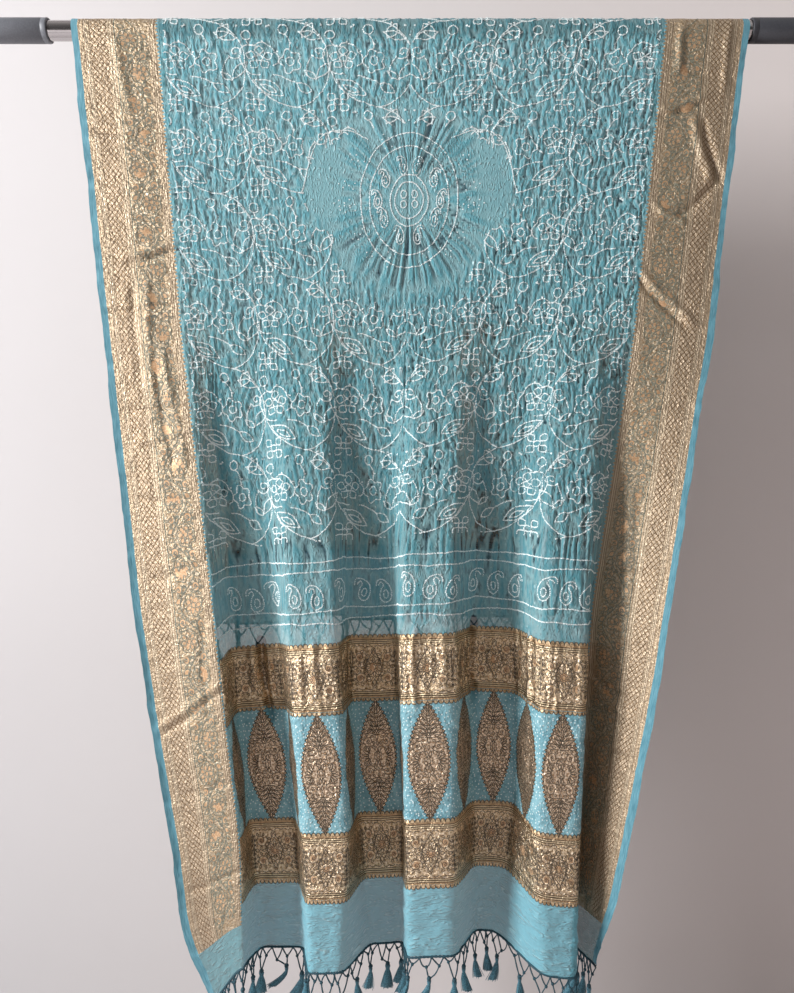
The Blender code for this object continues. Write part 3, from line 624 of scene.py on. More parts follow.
# Where the border's creeper and lattice lie, and the bands' figure
CREEPER, LATTICE, BAND_FIGURE = (49.0, 91.0), (15.0, 38.5), (8.8, 71.6)
BORDER_STRIPES = (
    (0.0, "BCA78C"), (2.0, "A08A70"), (2.8, "C2AE94"), (5.0, "A08A70"), (5.8, "BCA78C"), (7.0, "94806A"),
    (8.0, "CDBCA4"), (9.2, "9A856C"), (10.4, "CDBCA4"), (11.6, "9A856C"), (12.8, "C8B69C"), (14.0, "94806A"),
    (15.0, "C1AD95"), (38.5, "C8B69C"), (40.2, "9A856C"), (41.4, "CBB9A0"), (44.0, "9A856C"), (45.2, "BEAA90"),
    (46.6, "6A7268"), (48.0, "BCA78C"), (49.0, "967B5E"), (91.0, "BEAA90"), (92.6, "94806A"), (93.8, "C8B69C"),
    (95.6, "9A856C"), (96.8, "CBB9A0"), (98.6, "94806A"), (99.8, "B8A286"),
)
BORDER_GROUND = ("816C51", "A58D6F", "B8A488", "C2B29C", "CFC3B3")
border_zari = zari_cloth(
    "zari_border_brocade", True, FIELD_LEFT - SELVEDGE, BORDER_STRIPES, CREEPER, BORDER_GROUND, 0.44, 0.65, LATTICE
)
BAND_STRIPES = (
    (0.0, "C4A684"), (2.6, "5A4A38"), (3.6, "DCC8A8"), (5.2, "5A4A38"), (6.2, "DCC8A8"), (7.8, "5A4A38"),
    (8.8, "C4A684"), (71.6, "5A4A38"), (72.6, "DCC8A8"), (74.2, "5A4A38"), (75.2, "DCC8A8"), (76.8, "5A4A38"),
    (77.8, "C4A684"),
)
BAND_GROUND = ("6E5A42", "B49A78", "E6CCAA", "F6E4CA", "FFFAF0")
band_zari = zari_cloth("zari_band_brocade", False, 80.5, BAND_STRIPES, BAND_FIGURE, BAND_GROUND, 0.38, 1.0)

# ---------------------------------------------------------------- the row of medallions
# A pointed medallion of the same zari stands on every fold. Its rim is serrated, and white thread specks
# are scattered over the teal ground between the medallions.
HALF_WIDE, HALF_NARROWS, HALF_TALL, BOW = 28.5, 26.5, 76.0, 1.8
medallion_cloth, tree, shader = new_material("zari_medallion_brocade", Roughness=0.4)
on_cloth = add(tree, "UVMap", {"uv_map": "cut"})
place = add(tree, "VectorMath", SCALE, {0: on_cloth, 3: 1000.0})
parts = add(tree, "SeparateXYZ", links={0: place})
from_field = add(tree, "Math", {"operation": "SUBTRACT"}, {0: parts.outputs[0], 1: FIELD_LEFT})
from_fold = add(tree, "Math", {"operation": "PINGPONG"}, {0: from_field, 1: FACET / 2})
from_axis = add(tree, "Math", {"operation": "SUBTRACT"}, {0: FACET / 2, 1: from_fold})
from_middle = add(tree, "Math", {"operation": "SUBTRACT"}, {0: parts.outputs[1], 1: MEDALLION_BAND / 2})
height = add(tree, "Math", {"operation": "ABSOLUTE"}, {0: from_middle})
share = add(tree, "Math", {"operation": "DIVIDE"}, {0: height, 1: HALF_TALL})
bowed = add(tree, "Math", {"operation": "POWER"}, {0: share, 1: BOW})
half_width = add(tree, "Math", {"operation": "MULTIPLY_ADD"}, {0: bowed, 1: -HALF_NARROWS, 2: HALF_WIDE})
saw = add(tree, "Math", {"operation": "PINGPONG"}, {0: parts.outputs[1], 1: 2.6})
tooth = add(tree, "Math", {"operation": "MULTIPLY_ADD"}, {0: saw, 1: 1.1, 2: -2.4})
rim = add(tree, "Math", {"operation": "ADD"}, {0: half_width, 1: tooth})
inside = add(tree, "Math", {"operation": "LESS_THAN"}, {0: from_axis, 1: rim})
specks = add(tree, "TexVoronoi", {"voronoi_dimensions": "2D"}, {"Vector": place, "Scale": 0.17, "Randomness": 0.8})
speck = add(tree, "Math", {"operation": "LESS_THAN"}, {0: specks.outputs["Distance"], 1: 0.16})
# Painted shade: the teal ground between the medallions is darker in the relief's troughs and lighter on its crests
crease = add(tree, "Attribute", {"attribute_name": "crease"})
depth = add(tree, "MapRange", links={0: crease.outputs["Fac"], 1: -0.8, 2: 1.0, 3: 0.0, 4: 1.0})
ground = add(tree, "ValToRGB", links={0: depth}, stops=((0.0, "6B9FAD"), (1.0, "93C0CA")))
speckled = add(tree, "Mix", BLEND, {0: speck, 6: ground, 7: linear("DDEBEB")})
speckle = add(tree, "TexNoise", links={"Vector": place, "Scale": 0.4, "Detail": 2.0})
figure = add(tree, "ValToRGB", links={0: speckle}, stops=((0.35, "B08C68"), (0.65, "FFEBD2")))
within = add(tree, "Math", {"operation": "SUBTRACT"}, {0: rim, 1: 1.3})
outline = add(tree, "Math", {"operation": "GREATER_THAN"}, {0: from_axis, 1: within})
edged = add(tree, "Mix", BLEND, {0: outline, 6: figure, 7: linear("4A3A28")})
woven = add(tree, "Mix", BLEND, {0: inside, 6: speckled.outputs[2], 7: edged.outputs[2]})
metal = add(tree, "MapRange", links={0: inside, 3: 0.0, 4: 0.9})
bump = crushed_weave(tree, place, (0.6, 0.3), 0.0, 0.5, (0.6, 0.9), 0.0026)
connect(shader, {"Base Color": woven.outputs[2], "Metallic": metal, "Normal": bump})

# ---------------------------------------------------------------- the woven parts of the two falls
# The whole stole is one cloth. Its field, bands and ends follow one another down each fall, with a border
# and a narrow selvedge on each side that stop short of the hem.
def nodes_of(side, part, over=True):
    """The nodes that a woven part stands for: the front's parts run on over the rail."""
    return [f"{side}_{part}"] + [f"over_{part}"] * (over and side == "front")


for side in ("front", "back"):
    top = -OVER if side == "front" else 0.0
    hem = HEM[side]
    foot = hem - PLAIN_END
    places = PLACES[side]
    middles = places if side == "back" else steps(FIELD_LEFT, FIELD_RIGHT, 2.2)
    rows = rows_between(side, top, hem - UPPER_TOP)
    nodes = nodes_of(side, "field")
    for hand, half in (("left", places[places <= MIDDLE]), ("right", places[places >= MIDDLE])):
        made = cloth(f"{side}_field_{hand}_half", side, half, rows, cotton, 0.0, 0.0, nodes, "teal_cotton")
    for part, start, end, finish, slot in (
        ("band_upper", hem - UPPER_TOP, hem - MEDALLION_TOP, band_zari, "gold_zari"),
        ("medallions", hem - MEDALLION_TOP, hem - LOWER_TOP, medallion_cloth, "medallion_brocade"),
        ("band_lower", hem - LOWER_TOP, foot, band_zari, "gold_zari"),
        ("plain_end", foot, hem, flat_cotton["plain_cotton_voile"], "teal_cotton"),
    ):
        rows = rows_between(side, start, end)
        made = cloth(f"{side}_{part}_cloth", side, middles, rows, finish, 0.0, start, [f"{side}_{part}"], slot)
    step = 3.0 if side == "front" else 4.4
    for hand, inner, rim, outer in (
        ("left", FIELD_LEFT, SELVEDGE, 0.0),
        ("right", FIELD_RIGHT, BORDER_RIGHT, CLOTH_WIDTH),
    ):
        wide, thin = steps(*sorted((rim, inner)), step), steps(*sorted((rim, outer)), 2.5)
        made = []
        for part, places, start, end, finish, edge, slot in (
            ("border", wide, top, hem - BORDER_STOP, border_zari, rim, "gold_zari"),
            # The corners take the darker copy of the voile: painted shade
            ("corner", wide, hem - BORDER_STOP, hem, flat_cotton["painted_shade_cotton_voile"], 0.0, "teal_cotton"),
            ("selvedge", thin, top, hem, selvedge_cotton, outer, "selvedge_cotton"),
        ):
            nodes, rows = nodes_of(side, f"{part}_{hand}", part != "corner"), rows_between(side, start, end)
            made.append(cloth(f"{side}_{part}_{hand}_cloth", side, places, rows, finish, edge, 0.0, nodes, slot))

# ---------------------------------------------------------------- the tie-dyed pattern
# Thousands of pinches of cloth are bound with thread before dyeing, and each leaves an undyed dot. Set close
# together the dots draw scallops full of leaves and flowers, a wheel, paisleys and ruled lines.
DOT_PITCH = 2.0


def arc(*corners, count=30):
    """A cubic from four flat places, as (n, 2) millimetres."""
    t = np.linspace(0.0, 1.0, count)[:, None]
    a, b, c, d = [np.array(p, float) for p in corners]
    return a * (1 - t) ** 3 + 3 * b * t * (1 - t) ** 2 + 3 * c * t**2 * (1 - t) + d * t**3


def oval(x, y, rx, ry, petals=0, depth=0.0, start=0.0, turn=360.0):
    """An oval, or a flower whose radius dips by depth between petals, or part of one."""
    angle = np.radians(np.linspace(start, start + turn, 70))
    radius = 1.0 - depth * (0.5 + 0.5 * np.cos(petals * angle))
    return np.stack([x + rx * radius * np.cos(angle), y + ry * radius * np.sin(angle)], axis=1)


def leaf(x0, y0, x1, y1, width):
    """A leaf between two places: out along one bowed edge and back along the other."""
    dx, dy = x1 - x0, y1 - y0
    t = np.concatenate([np.linspace(0, 1, 24), np.linspace(1, 0, 24)])
    bow = width / math.hypot(dx, dy) * np.sin(math.pi * t) * np.where(np.arange(48) < 24, 1, -1)
    return np.stack([x0 + dx * t - dy * bow, y0 + dy * t + dx * bow], axis=1)


def spoke(x, y, angle, near, far, width):
    """A leaf that points away from (x, y), from one (across, along) radius out to another."""
    c, s = math.cos(angle), math.sin(angle)
    return leaf(x + near[0] * c, y + near[1] * s, x + far[0] * c, y + far[1] * s, width)


def paisley(x, y, wide, tall, hand=1.0):
    """A teardrop drawn up into a tip that hooks over to one side; y is the middle of its base."""
    outline = [
        arc((-10.5, -5.5), (-12, -14), (-1, -14), (4, -6)), arc((4, -6), (8.5, 1), (7, 11), (0, 12)),
        arc((0, 12), (-6, 12), (-8, 2), (-3, -5)), arc((-3, -5), (-2, -9), (-6, -11), (-8, -6)),
    ]
    return [np.array((x, y)) + line * (hand * wide / 18, tall / 26) for line in outline]


def scroll(x, y, radius, hand, start=90.0, turns=1.5):
    """A spiral drawn in from its rim to a fifth of its radius."""
    s = np.linspace(0.0, 1.0, 40)
    angle = math.radians(start) + hand * 2 * math.pi * turns * s
    r = radius * (1 - 0.8 * s)
    return np.stack([x + r * np.cos(angle), y + r * np.sin(angle)], axis=1)


def flower(x, y, radius, petals, width, start=-90.0):
    """Petals round a small ring."""
    turns = np.radians(start + 360.0 * np.arange(petals) / petals)
    around = [spoke(x, y, a, (0.3 * radius, 0.3 * radius), (radius, radius), width) for a in turns]
    return around + [oval(x, y, 0.25 * radius, 0.25 * radius)]


def scallop():
    """Lines of one scallop about its lowest point, in draft units: 1.98 mm across and 1.33 mm along."""
    lines = [
        arc((0, 0), (14, 3), (28, 18), (28, 38)),
        arc((28, 38), (28, 62), (49, 82), (73, 85)),
        arc((0, 0), (16, -4), (28, -18), (28, -36)),
        oval(-10, -76, 4, 4.5), arc((-9, -71), (-6, -68), (-4, -63), (-5, -57)),
        scroll(20, -54, 7, -1, 150, 1.25), arc((14, -50), (10, -44), (8, -38), (9, -30)),
        leaf(-38, -27, -12, -11, 6), leaf(-32, -22, -18, -14, 2.5),
        leaf(17, -28, 30, -44, 4), leaf(3, 11, 22, 18, 4), leaf(6, -68, 15, -82, 4.5), leaf(0, -23, 13, -14, 4),
        arc((-20, -31), (-12, -30), (-6, -27), (0, -23)),
        oval(-5, -45, 10.5, 12, 5, 0.3, 18), oval(-5, -45, 3.5, 4),
        arc((-46, -40), (-54, -54), (-46, -64), (-36, -60)),
        arc((-36, -60), (-30, -68), (-20, -62), (-19, -54)),
        arc((-19, -54), (-13, -50), (-14, -42), (-20, -40)),
        arc((-46, -40), (-44, -34), (-38, -31), (-32, -32)),
        leaf(7, -35, 17, -27, 2.6),
        oval(-43, 14, 4, 4.5), arc((-43, 19), (-42, 24), (-38, 26), (-34, 25)),
    ]
    lines += flower(-32, -48, 12, 5, 3.8) + flower(36, -5, 12, 4, 3.6, 45)
    loose = ((-22, -80), (10, 2), (22, 4), (-24, 6), (-4, -62), (24, -64), (44, 20), (56, 30))
    return lines + [oval(x, y, 0.5, 0.5) for x, y in loose]


CARRIED_LEVELS = np.arange(-40.0, 800.0, 20.0)
CARRIED_PLACES = np.linspace(FIELD_LEFT, FIELD_RIGHT, 430)
CARRIED = hang("front", CARRIED_PLACES, CARRIED_LEVELS)[..., 0]


def evened(lines):
    """Lines of the front moved across so that the pattern hangs evenly, not bunched on the folds' steep sides."""
    flat = np.concatenate(lines)
    middle = CARRIED[np.argmin(np.abs(CARRIED_PLACES - MIDDLE))]
    moved = []
    for index in range(len(CARRIED_LEVELS)):
        stops = (CARRIED[0, index], middle[index], CARRIED[-1, index])
        wanted = np.interp(flat[:, 0], (FIELD_LEFT, MIDDLE, FIELD_RIGHT), stops)
        moved.append(np.interp(wanted, CARRIED[:, index], CARRIED_PLACES))
    count = len(CARRIED_LEVELS)
    level = np.clip(np.interp(flat[:, 1], CARRIED_LEVELS, np.arange(count)), 0, count - 1.001)
    low = level.astype(int)
    moved, row = np.array(moved), np.arange(len(flat))
    across = moved[low, row] * (1 - (level - low)) + moved[low + 1, row] * (level - low)
    across = np.where((flat[:, 0] > FIELD_LEFT) & (flat[:, 0] < FIELD_RIGHT), across, flat[:, 0])
    return np.split(np.stack([across, flat[:, 1]], axis=1), np.cumsum([len(line) for line in lines])[:-1])


def run_of(line):
    """The length run along a line at each of its points."""
    return np.concatenate([[0], np.cumsum(np.hypot(*np.diff(line, axis=0).T))])


def at_run(line, run, places):
    """The points of a line at some lengths along it."""
    return np.stack([np.interp(places, run, line[:, 0]), np.interp(places, run, line[:, 1])], axis=1)


def dotted(lines, pitch=DOT_PITCH):
    """Places set evenly by their true length along each line."""
    runs = [run_of(line) for line in lines]
    counts = [max(2, round(run[-1] / pitch) + 1) for run in runs]
    return np.concatenate(
        [at_run(line, run, np.linspace(0, run[-1], count)) for line, run, count in zip(lines, runs, counts)]
    )


def both_halves(places):
    """The pattern was tied through the doubled cloth, so each half mirrors the other about the middle crease."""
    return np.concatenate([places, places * (-1, 1) + (2 * MIDDLE, 0)])


DRAFT = np.array([1.98, 1.33])
SCALLOP_WIDE, SCALLOP_TALL, FIRST_CUSP = 144.0, 113.0, 52.0
PAISLEY_ALONG, PAISLEYS, BACK_SHIFT = 741, 17, 430


def scallops(top, foot, last_row):
    """Every scallop of both halves between two levels, each half the mirror of the other."""
    lines = []
    for k in range(-1, 5):
        for j in range(-1, 8):
            cusp = np.array([MIDDLE - FIRST_CUSP - SCALLOP_WIDE * k, last_row - SCALLOP_TALL * j])
            lines += [cusp + line * DRAFT for line in scallop()]
    halves = []
    for hand in (-1, 1):
        half = [line * (-hand, 1) + ((1 + hand) * MIDDLE, 0) for line in lines]
        places = dotted(evened(half)) if foot > 300 else dotted(half, 1.25 * DOT_PITCH)
        u, v = places.T
        inside = (u > FIELD_LEFT + 6) & (u < FIELD_RIGHT - 6) & (v > top) & (v < foot)
        halves.append(places[inside & ((u - MIDDLE) * hand > 2)])
    return np.concatenate(halves)


def wheel():
    """Half of the wheel: dotted rings, a ring of paisleys, a small hub, and rays of loose dots outside."""
    lines = [oval(MIDDLE, WHEEL_ALONG, r, r, start=90, turn=180) for r in (WHEEL_RADIUS, 72.0, 34.0, 25.0)]
    centre = np.array([MIDDLE, WHEEL_ALONG])
    for dx, dy in ((-6, -34), (-22, -22), (-28.5, -1), (-23, 17), (-8.4, 34)):
        x, y = centre + np.array([dx, dy]) * DRAFT
        lines += paisley(x, y, 20, 27) + [oval(x, y + 3, 3, 5)]
    lines += [oval(*(centre + np.array(p) * DRAFT), 5, 5) for p in ((-5, -6), (-5, 4))]
    shoulder = ((-98.5, -8.5), (-85.5, -48.5), (-87.5, -86.5), (-37.5, -61.5))
    lines.append(arc(*[centre + np.array(p) * DRAFT for p in shoulder]))
    rays = []
    for ray in ((-54, -46), (-64, -17), (-69, 3), (-63, 9), (-52, 38), (-40, 57), (-24, -66), (-20, 66)):
        out = np.array(ray) / math.hypot(*ray)
        aside = np.array((-out[1], out[0]))
        for i, j in ((-1, -1), (-1, 1), (0, 0), (1, -1), (1, 1), (2, 0)):
            rays.append(centre + (0.86 * np.array(ray) + 4.5 * i * out + 3 * j * aside) * DRAFT)
    return np.concatenate([dotted(lines), rays])


def ruled(levels, wave=1.5):
    """Dotted lines across half the field."""
    u = np.linspace(FIELD_LEFT + 4, MIDDLE - 3, 90)
    return dotted([np.stack([u, level + wave * np.sin(u / 31 + level)], axis=1) for level in levels])


def in_wheel(places):
    """Which places lie on the plain cloth round the wheel, where no scallop is tied."""
    u, v = places.T
    upper = ((u - MIDDLE) / 193) ** 2 + ((v - WHEEL_ALONG + 14) / 86) ** 2 < 1
    return upper | (((u - MIDDLE) / 140) ** 2 + ((v - WHEEL_ALONG - 40) / 104) ** 2 < 1)


front_lines = scallops(-30.0, 676.0, 673.0)
front_lines = front_lines[~in_wheel(front_lines)]
# The paisleys stand evenly in the hanging cloth, so they are spaced by where the folds carry them
spread = np.linspace(FIELD_LEFT, FIELD_RIGHT, 400)
carried = hang("front", spread, np.array([float(PAISLEY_ALONG)]))[:, 0, 0]
paisleys = []
for k in range(PAISLEYS):
    x_there = carried[0] + (carried[-1] - carried[0]) * (k + 0.65) / (PAISLEYS + 0.3)
    x, y = float(np.interp(x_there, carried, spread)), PAISLEY_ALONG + 4 * math.sin(2.1 * k)
    pace = float(np.interp(x_there + 3, carried, spread) - np.interp(x_there - 3, carried, spread)) / 6
    wide, hand = min(max(20.0 * pace, 24.0), 44.0), 1.0 if k < 9 else -1.0
    paisleys += paisley(x, y + 2, wide, 33, hand) + [oval(x, y + 6, wide * 0.14, 5.5)]
paisleys = dotted(paisleys, 2.2)
tied = both_halves(np.concatenate([wheel(), ruled((701.0, 715.0, 765.0, 780.0))]))
front_dots = np.concatenate([front_lines, tied, paisleys])
back_lines = both_halves(ruled((282.0, 294.0, 338.0, 350.0)))
back_dots = np.concatenate([scallops(8.0, 270.0, 268.0), back_lines, paisleys - (0, BACK_SHIFT)])

# Undyed cotton, a little frayed where each tie was pulled off
undyed = grained("undyed_tie_dots", (900.0,) * 3, ((0.0, "CDDFE3"), (1.0, "F7FAF8")), Roughness=0.9)


def on_surface(name, places):
    """Points, outward normals and across directions at flat places, read between a woven part's own grid points."""
    across, along, *grids = surfaces[name]
    i = np.interp(places[:, 0], across, np.arange(len(across)))
    j = np.interp(places[:, 1], along, np.arange(len(along)))
    a, b = np.minimum(i.astype(int), len(across) - 2), np.minimum(j.astype(int), len(along) - 2)
    s, t = (i - a)[:, None], (j - b)[:, None]
    point, outward = [
        (g[a, b] * (1 - s) + g[a + 1, b] * s) * (1 - t) + (g[a, b + 1] * (1 - s) + g[a + 1, b + 1] * s) * t
        for g in grids
    ]
    sideways = grids[0][a + 1, b] - grids[0][a, b]
    sideways /= np.linalg.norm(sideways, axis=1)[:, None]
    return point, outward, sideways


BEAD_RADIUS, BEAD_TALL = (1.0, 1.3), 1.1


def dots(name, surface, places, side):
    """A low four-sided bead on each place."""
    random = np.random.default_rng(11)
    u, v = places.T
    wobble = [2.6 * (mottle(u / 21, v / 21, k) - 0.5) + 0.7 * (mottle(u / 7, v / 7, k + 2) - 0.5) for k in (1, 2)]
    places = places + np.stack(wobble, axis=1) + random.normal(0.0, 0.2, places.shape)
    point, outward, sideways = on_surface(surface, places)
    down = np.cross(outward, sideways)
    size = random.uniform(*BEAD_RADIUS, len(places))[:, None] * MM
    spin = random.uniform(0, math.pi / 2, len(places))[:, None]
    one = (np.cos(spin) * sideways + np.sin(spin) * down) * size
    two = (-np.sin(spin) * sideways + np.cos(spin) * down) * size
    ring = np.stack([point + one, point + two, point - one, point - two], axis=1) + outward[:, None] * 0.15 * MM
    peak = (point + outward * BEAD_TALL * MM)[:, None]
    points = np.concatenate([ring, peak], axis=1).reshape(-1, 3)
    sides = np.array([(0, 1, 4), (1, 2, 4), (2, 3, 4), (3, 0, 4)])
    faces = (np.arange(len(places))[:, None, None] * 5 + sides).reshape(-1, 3)
    return piece(name, points, faces, undyed, [f"{side}_field"], "teal_cotton")


for side, places in (("front", front_dots), ("back", back_dots)):
    left = places[:, 0] < MIDDLE
    dots(f"{side}_tied_dots_left", f"{side}_field_left_half", places[left], side)
    dots(f"{side}_tied_dots_right", f"{side}_field_right_half", places[~left], side)

# ---------------------------------------------------------------- the figured threads of the brocade
# The creeper, the band flowers and the medallions' ferns are floats of thicker zari and silk that lie on the
# ground weave. Each is a flat ribbon of thread about a millimetre wide, with a filled heart in each flower.

# Figured threads of silk and zari, each one colour broken by its own twist at about 2 mm
brown_thread, slate_thread, peach_thread, tooth_thread = [
    grained(name, (480.0,) * 3, ((0.32, dark), (0.68, light)), detail=1.0, Metallic=metallic, Roughness=rough)
    for name, dark, light, metallic, rough in (
        ("brown_silk_thread", "3F3A30", "665848", 0.0, 0.6),
        ("grey_green_silk_thread", "66665A", "90907E", 0.0, 0.6),
        ("peach_silk_thread", "B88E68", "D8B692", 0.4, 0.5),
        ("gold_zari_teeth", "A88A68", "ECD4B0", 0.8, 0.56),
    )
]
RIBBON_STEP, HEART_SIDES = 2.2, 12


def ribbons(name, surface, lines, width, lift, finish, node, slot):
    """A ribbon of the given width, in mm, along every line, lifted off the woven ground."""
    lines = [dotted([line], RIBBON_STEP) for line in lines]
    flat = np.concatenate(lines)
    counts = [len(line) for line in lines]
    ends = np.cumsum(counts)
    low, high = np.repeat(ends - counts, counts), np.repeat(ends - 1, counts)
    index = np.arange(len(flat))
    point, outward, _ = on_surface(surface, flat)
    along = point[np.minimum(index + 1, high)] - point[np.maximum(index - 1, low)]
    aside = np.cross(outward, along)
    aside /= np.maximum(np.linalg.norm(aside, axis=1), 1e-9)[:, None]
    lifted, aside = point + outward * lift * MM, aside * width / 2 * MM
    points = np.stack([lifted - aside, lifted + aside], axis=1).reshape(-1, 3)
    i = index[index < high] * 2
    return piece(name, points, np.stack([i, i + 2, i + 3, i + 1], axis=1), finish, [node], slot)


def hearts(name, surface, ovals, lift, finish, node, slot):
    """Filled ovals (x, y, rx, ry), each a fan of faces on the cloth."""
    ovals = np.array(ovals)
    angle = np.linspace(0, 2 * math.pi, HEART_SIDES, endpoint=False)
    ring = ovals[:, None, :2] + np.stack([np.cos(angle), np.sin(angle)], axis=1)[None] * ovals[:, None, 2:]
    flat = np.concatenate([ovals[:, None, :2], ring], axis=1)
    point, outward, _ = on_surface(surface, flat.reshape(-1, 2))
    k = np.arange(HEART_SIDES)
    fan = np.stack([0 * k, k + 1, (k + 1) % HEART_SIDES + 1], axis=1)[:, ::-1]
    faces = (np.arange(len(ovals))[:, None, None] * (HEART_SIDES + 1) + fan).reshape(-1, 3)
    return piece(name, point + outward * lift * MM, faces, finish, [node], slot)


CREEPER_AXIS, BEND = sum(CREEPER) / 2, 42.0


def mirrored_lines(lines, x):
    """The lines and their mirror images about an upright axis."""
    return lines + [line * (-1, 1) + (2 * x, 0) for line in lines]


def leafy(line, size, pace, sides=(1, -1), lean=50.0):
    """Small leaves that spring from a line on one or both sides."""
    run = run_of(line)
    at = np.arange(pace / 2, run[-1], pace)
    heading = at_run(line, run, at + 0.5) - at_run(line, run, at - 0.5)
    found = []
    for (x, y), (dx, dy) in zip(at_run(line, run, at), heading):
        turns = [math.atan2(dy, dx) + side * math.radians(lean) for side in sides]
        found += [spoke(x, y, turn, (1, 1), (size, size), 0.27 * size) for turn in turns]
    return found


def leafy_scroll(x, y, radius, hand, start, turns=1.6):
    """A spiral stem with leaves on its outer side, ending in a small bud."""
    stem = scroll(x, y, radius, hand, start, turns)
    return [stem, oval(x, y, 1.6, 1.6)] + leafy(stem[:26], 6.0, 5.2, (-hand,), 62)


def band_figure():
    """One repeat of the bands' figure, 66 mm wide and 55 mm tall: a palmette between four leafy scrolls."""
    half = leafy_scroll(14, 13, 9, 1, -40) + leafy_scroll(14, 42, 9, -1, 40)
    for up, y in ((-1, 0), (1, 55)):
        half += [arc((x, y), (x + 3, y + 3 * up), (x + 7, y + 3 * up), (x + 9, y)) for x in (1.5, 12, 22)]
    spine = arc((0, 3), (5, 18), (-3, 36), (1, 52))
    half += [spine, arc((33, 3), (28, 12), (23, 18), (22, 27)), arc((22, 27), (23, 36), (28, 43), (33, 52))]
    half += leafy(spine, 5.0, 6.0, (-1,)) + [leaf(3, 27, 11, 27, 2.4), leaf(14, 27, 21, 27, 2.0)]
    palmette = [spoke(33, 27, a, (4, 5), (11, 13), 1.9) for a in np.radians(np.arange(-90, 270, 36))]
    palmette += [oval(33, 27, 13, 15, 10, 0.12), oval(33, 27, 3, 3.5)]
    palmette += [leaf(33, 11, 33, 0, 3.4), leaf(33, 43, 33, 55, 3.4)]
    return mirrored_lines(half, 33) + palmette


def medallion_half(y):
    """Half the medallion's width at a height from its middle."""
    return HALF_WIDE - HALF_NARROWS * np.abs(np.asarray(y) / HALF_TALL) ** BOW


def fern_figure():
    """A medallion's figure about its middle: paired petals, four leafy scrolls, side fans and an inner line."""
    half = []
    for y in np.arange(38.0, 74.0, 5.6):
        wide = float(medallion_half(y)) * 0.84
        for up in (-1, 1):
            bow = [(1, y - 4), (wide * 0.3, y - 3), (wide * 0.5, y), (wide * 0.6, y + 2)]
            half.append(leaf(1, up * (y - 9), wide, up * (y - 1), min(2.4, 0.2 * wide)))
            half.append(arc(*[(x, up * level) for x, level in bow]))
    for up in (-1, 1):
        half += leafy_scroll(12.5, up * 19.5, 8.5, up, 200 * up, 1.7)
        for x0, y0, x1, y1, width in ((3, 31, 1, 43, 1.8), (1.5, 4, 3, 14, 1.6), (8, 33, 20, 30, 2.2)):
            half.append(leaf(x0, up * y0, x1, up * y1, width))
    half += [spoke(9, 0, a, (4, 4), (15, 14), 1.5) for a in np.radians((-60, -36, -12, 12, 36, 60))]
    level = np.linspace(-73.0, 73.0, 80)
    half.append(np.stack([np.maximum(medallion_half(level) - 3.6, 0.4), level], axis=1))
    stem = [leaf(0, up * y, 0, up * (y + 7.5), 1.5) for up in (-1, 1) for y in np.arange(14.0, 66.0, 8.5)]
    stem += [oval(0, 0, 6, 8, 6, 0.3), oval(0, 0, 2.5, 3.5)]
    return mirrored_lines(half, 0) + stem


def creeper_figure(top, foot):
    """The border's creeper: a wavy stem, with a blossom, two leafy scrolls and loose leaves on each bend."""
    v = np.arange(top + 1, foot - 1, 2.0)
    stem = np.stack([CREEPER_AXIS + 13 * np.sin(2 * math.pi * v / (2 * BEND)), v], axis=1)
    lines, blooms = [stem], []
    for index, y in enumerate(np.arange((math.ceil((top + 18) / BEND) + 0.5) * BEND, foot - 26, BEND)):
        hand = 1 if math.sin(2 * math.pi * y / (2 * BEND)) < 0 else -1
        x = CREEPER_AXIS + hand * 6.0
        lines += flower(x, y, 12.5, 7, 3.0, 12 * index) + [oval(x, y, 14, 15.5, 7, 0.14, 10 * index)]
        lines += leafy_scroll(CREEPER_AXIS - hand * 11.5, y + 20, 7.0, hand, 90)
        lines += leafy_scroll(CREEPER_AXIS + hand * 13, y + 23, 6.0, -hand, -60, 1.2)
        for x0, y0, x1, y1, width in (
            (-9, -9, -19.5, -2, 3.4), (-9, 3, -19.5, 7, 3.0), (9, -17, 18, -20, 2.6), (2, 18, 8, 29, 2.6),
        ):
            lines.append(leaf(CREEPER_AXIS + hand * x0, y + y0, CREEPER_AXIS + hand * x1, y + y1, width))
        for dx, dy, rx, ry in ((6, 0, 9.5, 10.5), (-11.5, 20, 5.0, 5.0), (-14, -5.5, 4.6, 2.8), (13, 23, 4.2, 4.2)):
            blooms.append((CREEPER_AXIS + hand * dx, y + dy, rx, ry))
    return lines, blooms


def set_in(lines, seed):
    """The lines with the small unevenness of hand-drawn weaving drafts."""
    shaken = []
    for line in lines:
        x, y = line[:, 0] / 9 + seed, line[:, 1] / 9
        shaken.append(line + 1.6 * np.stack([mottle(x, y, 0) - 0.5, mottle(x, y, 6) - 0.5], axis=1))
    return shaken


def toothed(name, surfaces_beside, level, out, node, slot):
    """A row of rounded teeth along a band's edge, lying on the cotton beside it, with a dark outline."""
    teeth = FIELD_LEFT + 3.3 + 6.6 * np.arange(129)
    for index, surface in enumerate(surfaces_beside):
        across = surfaces[surface][0]
        mine = teeth[(teeth >= across[0]) & (teeth <= across[-1])]
        hearts(f"{name}_{index}", surface, [(x, level, 3.1, 4.2) for x in mine], 0.25, tooth_thread, node, slot)
        arcs = [oval(x, level, 3.2, 4.4, turn=180.0 * out) for x in mine]
        ribbons(f"{name}_outline_{index}", surface, arcs, 0.9, 0.4, brown_thread, node, slot)


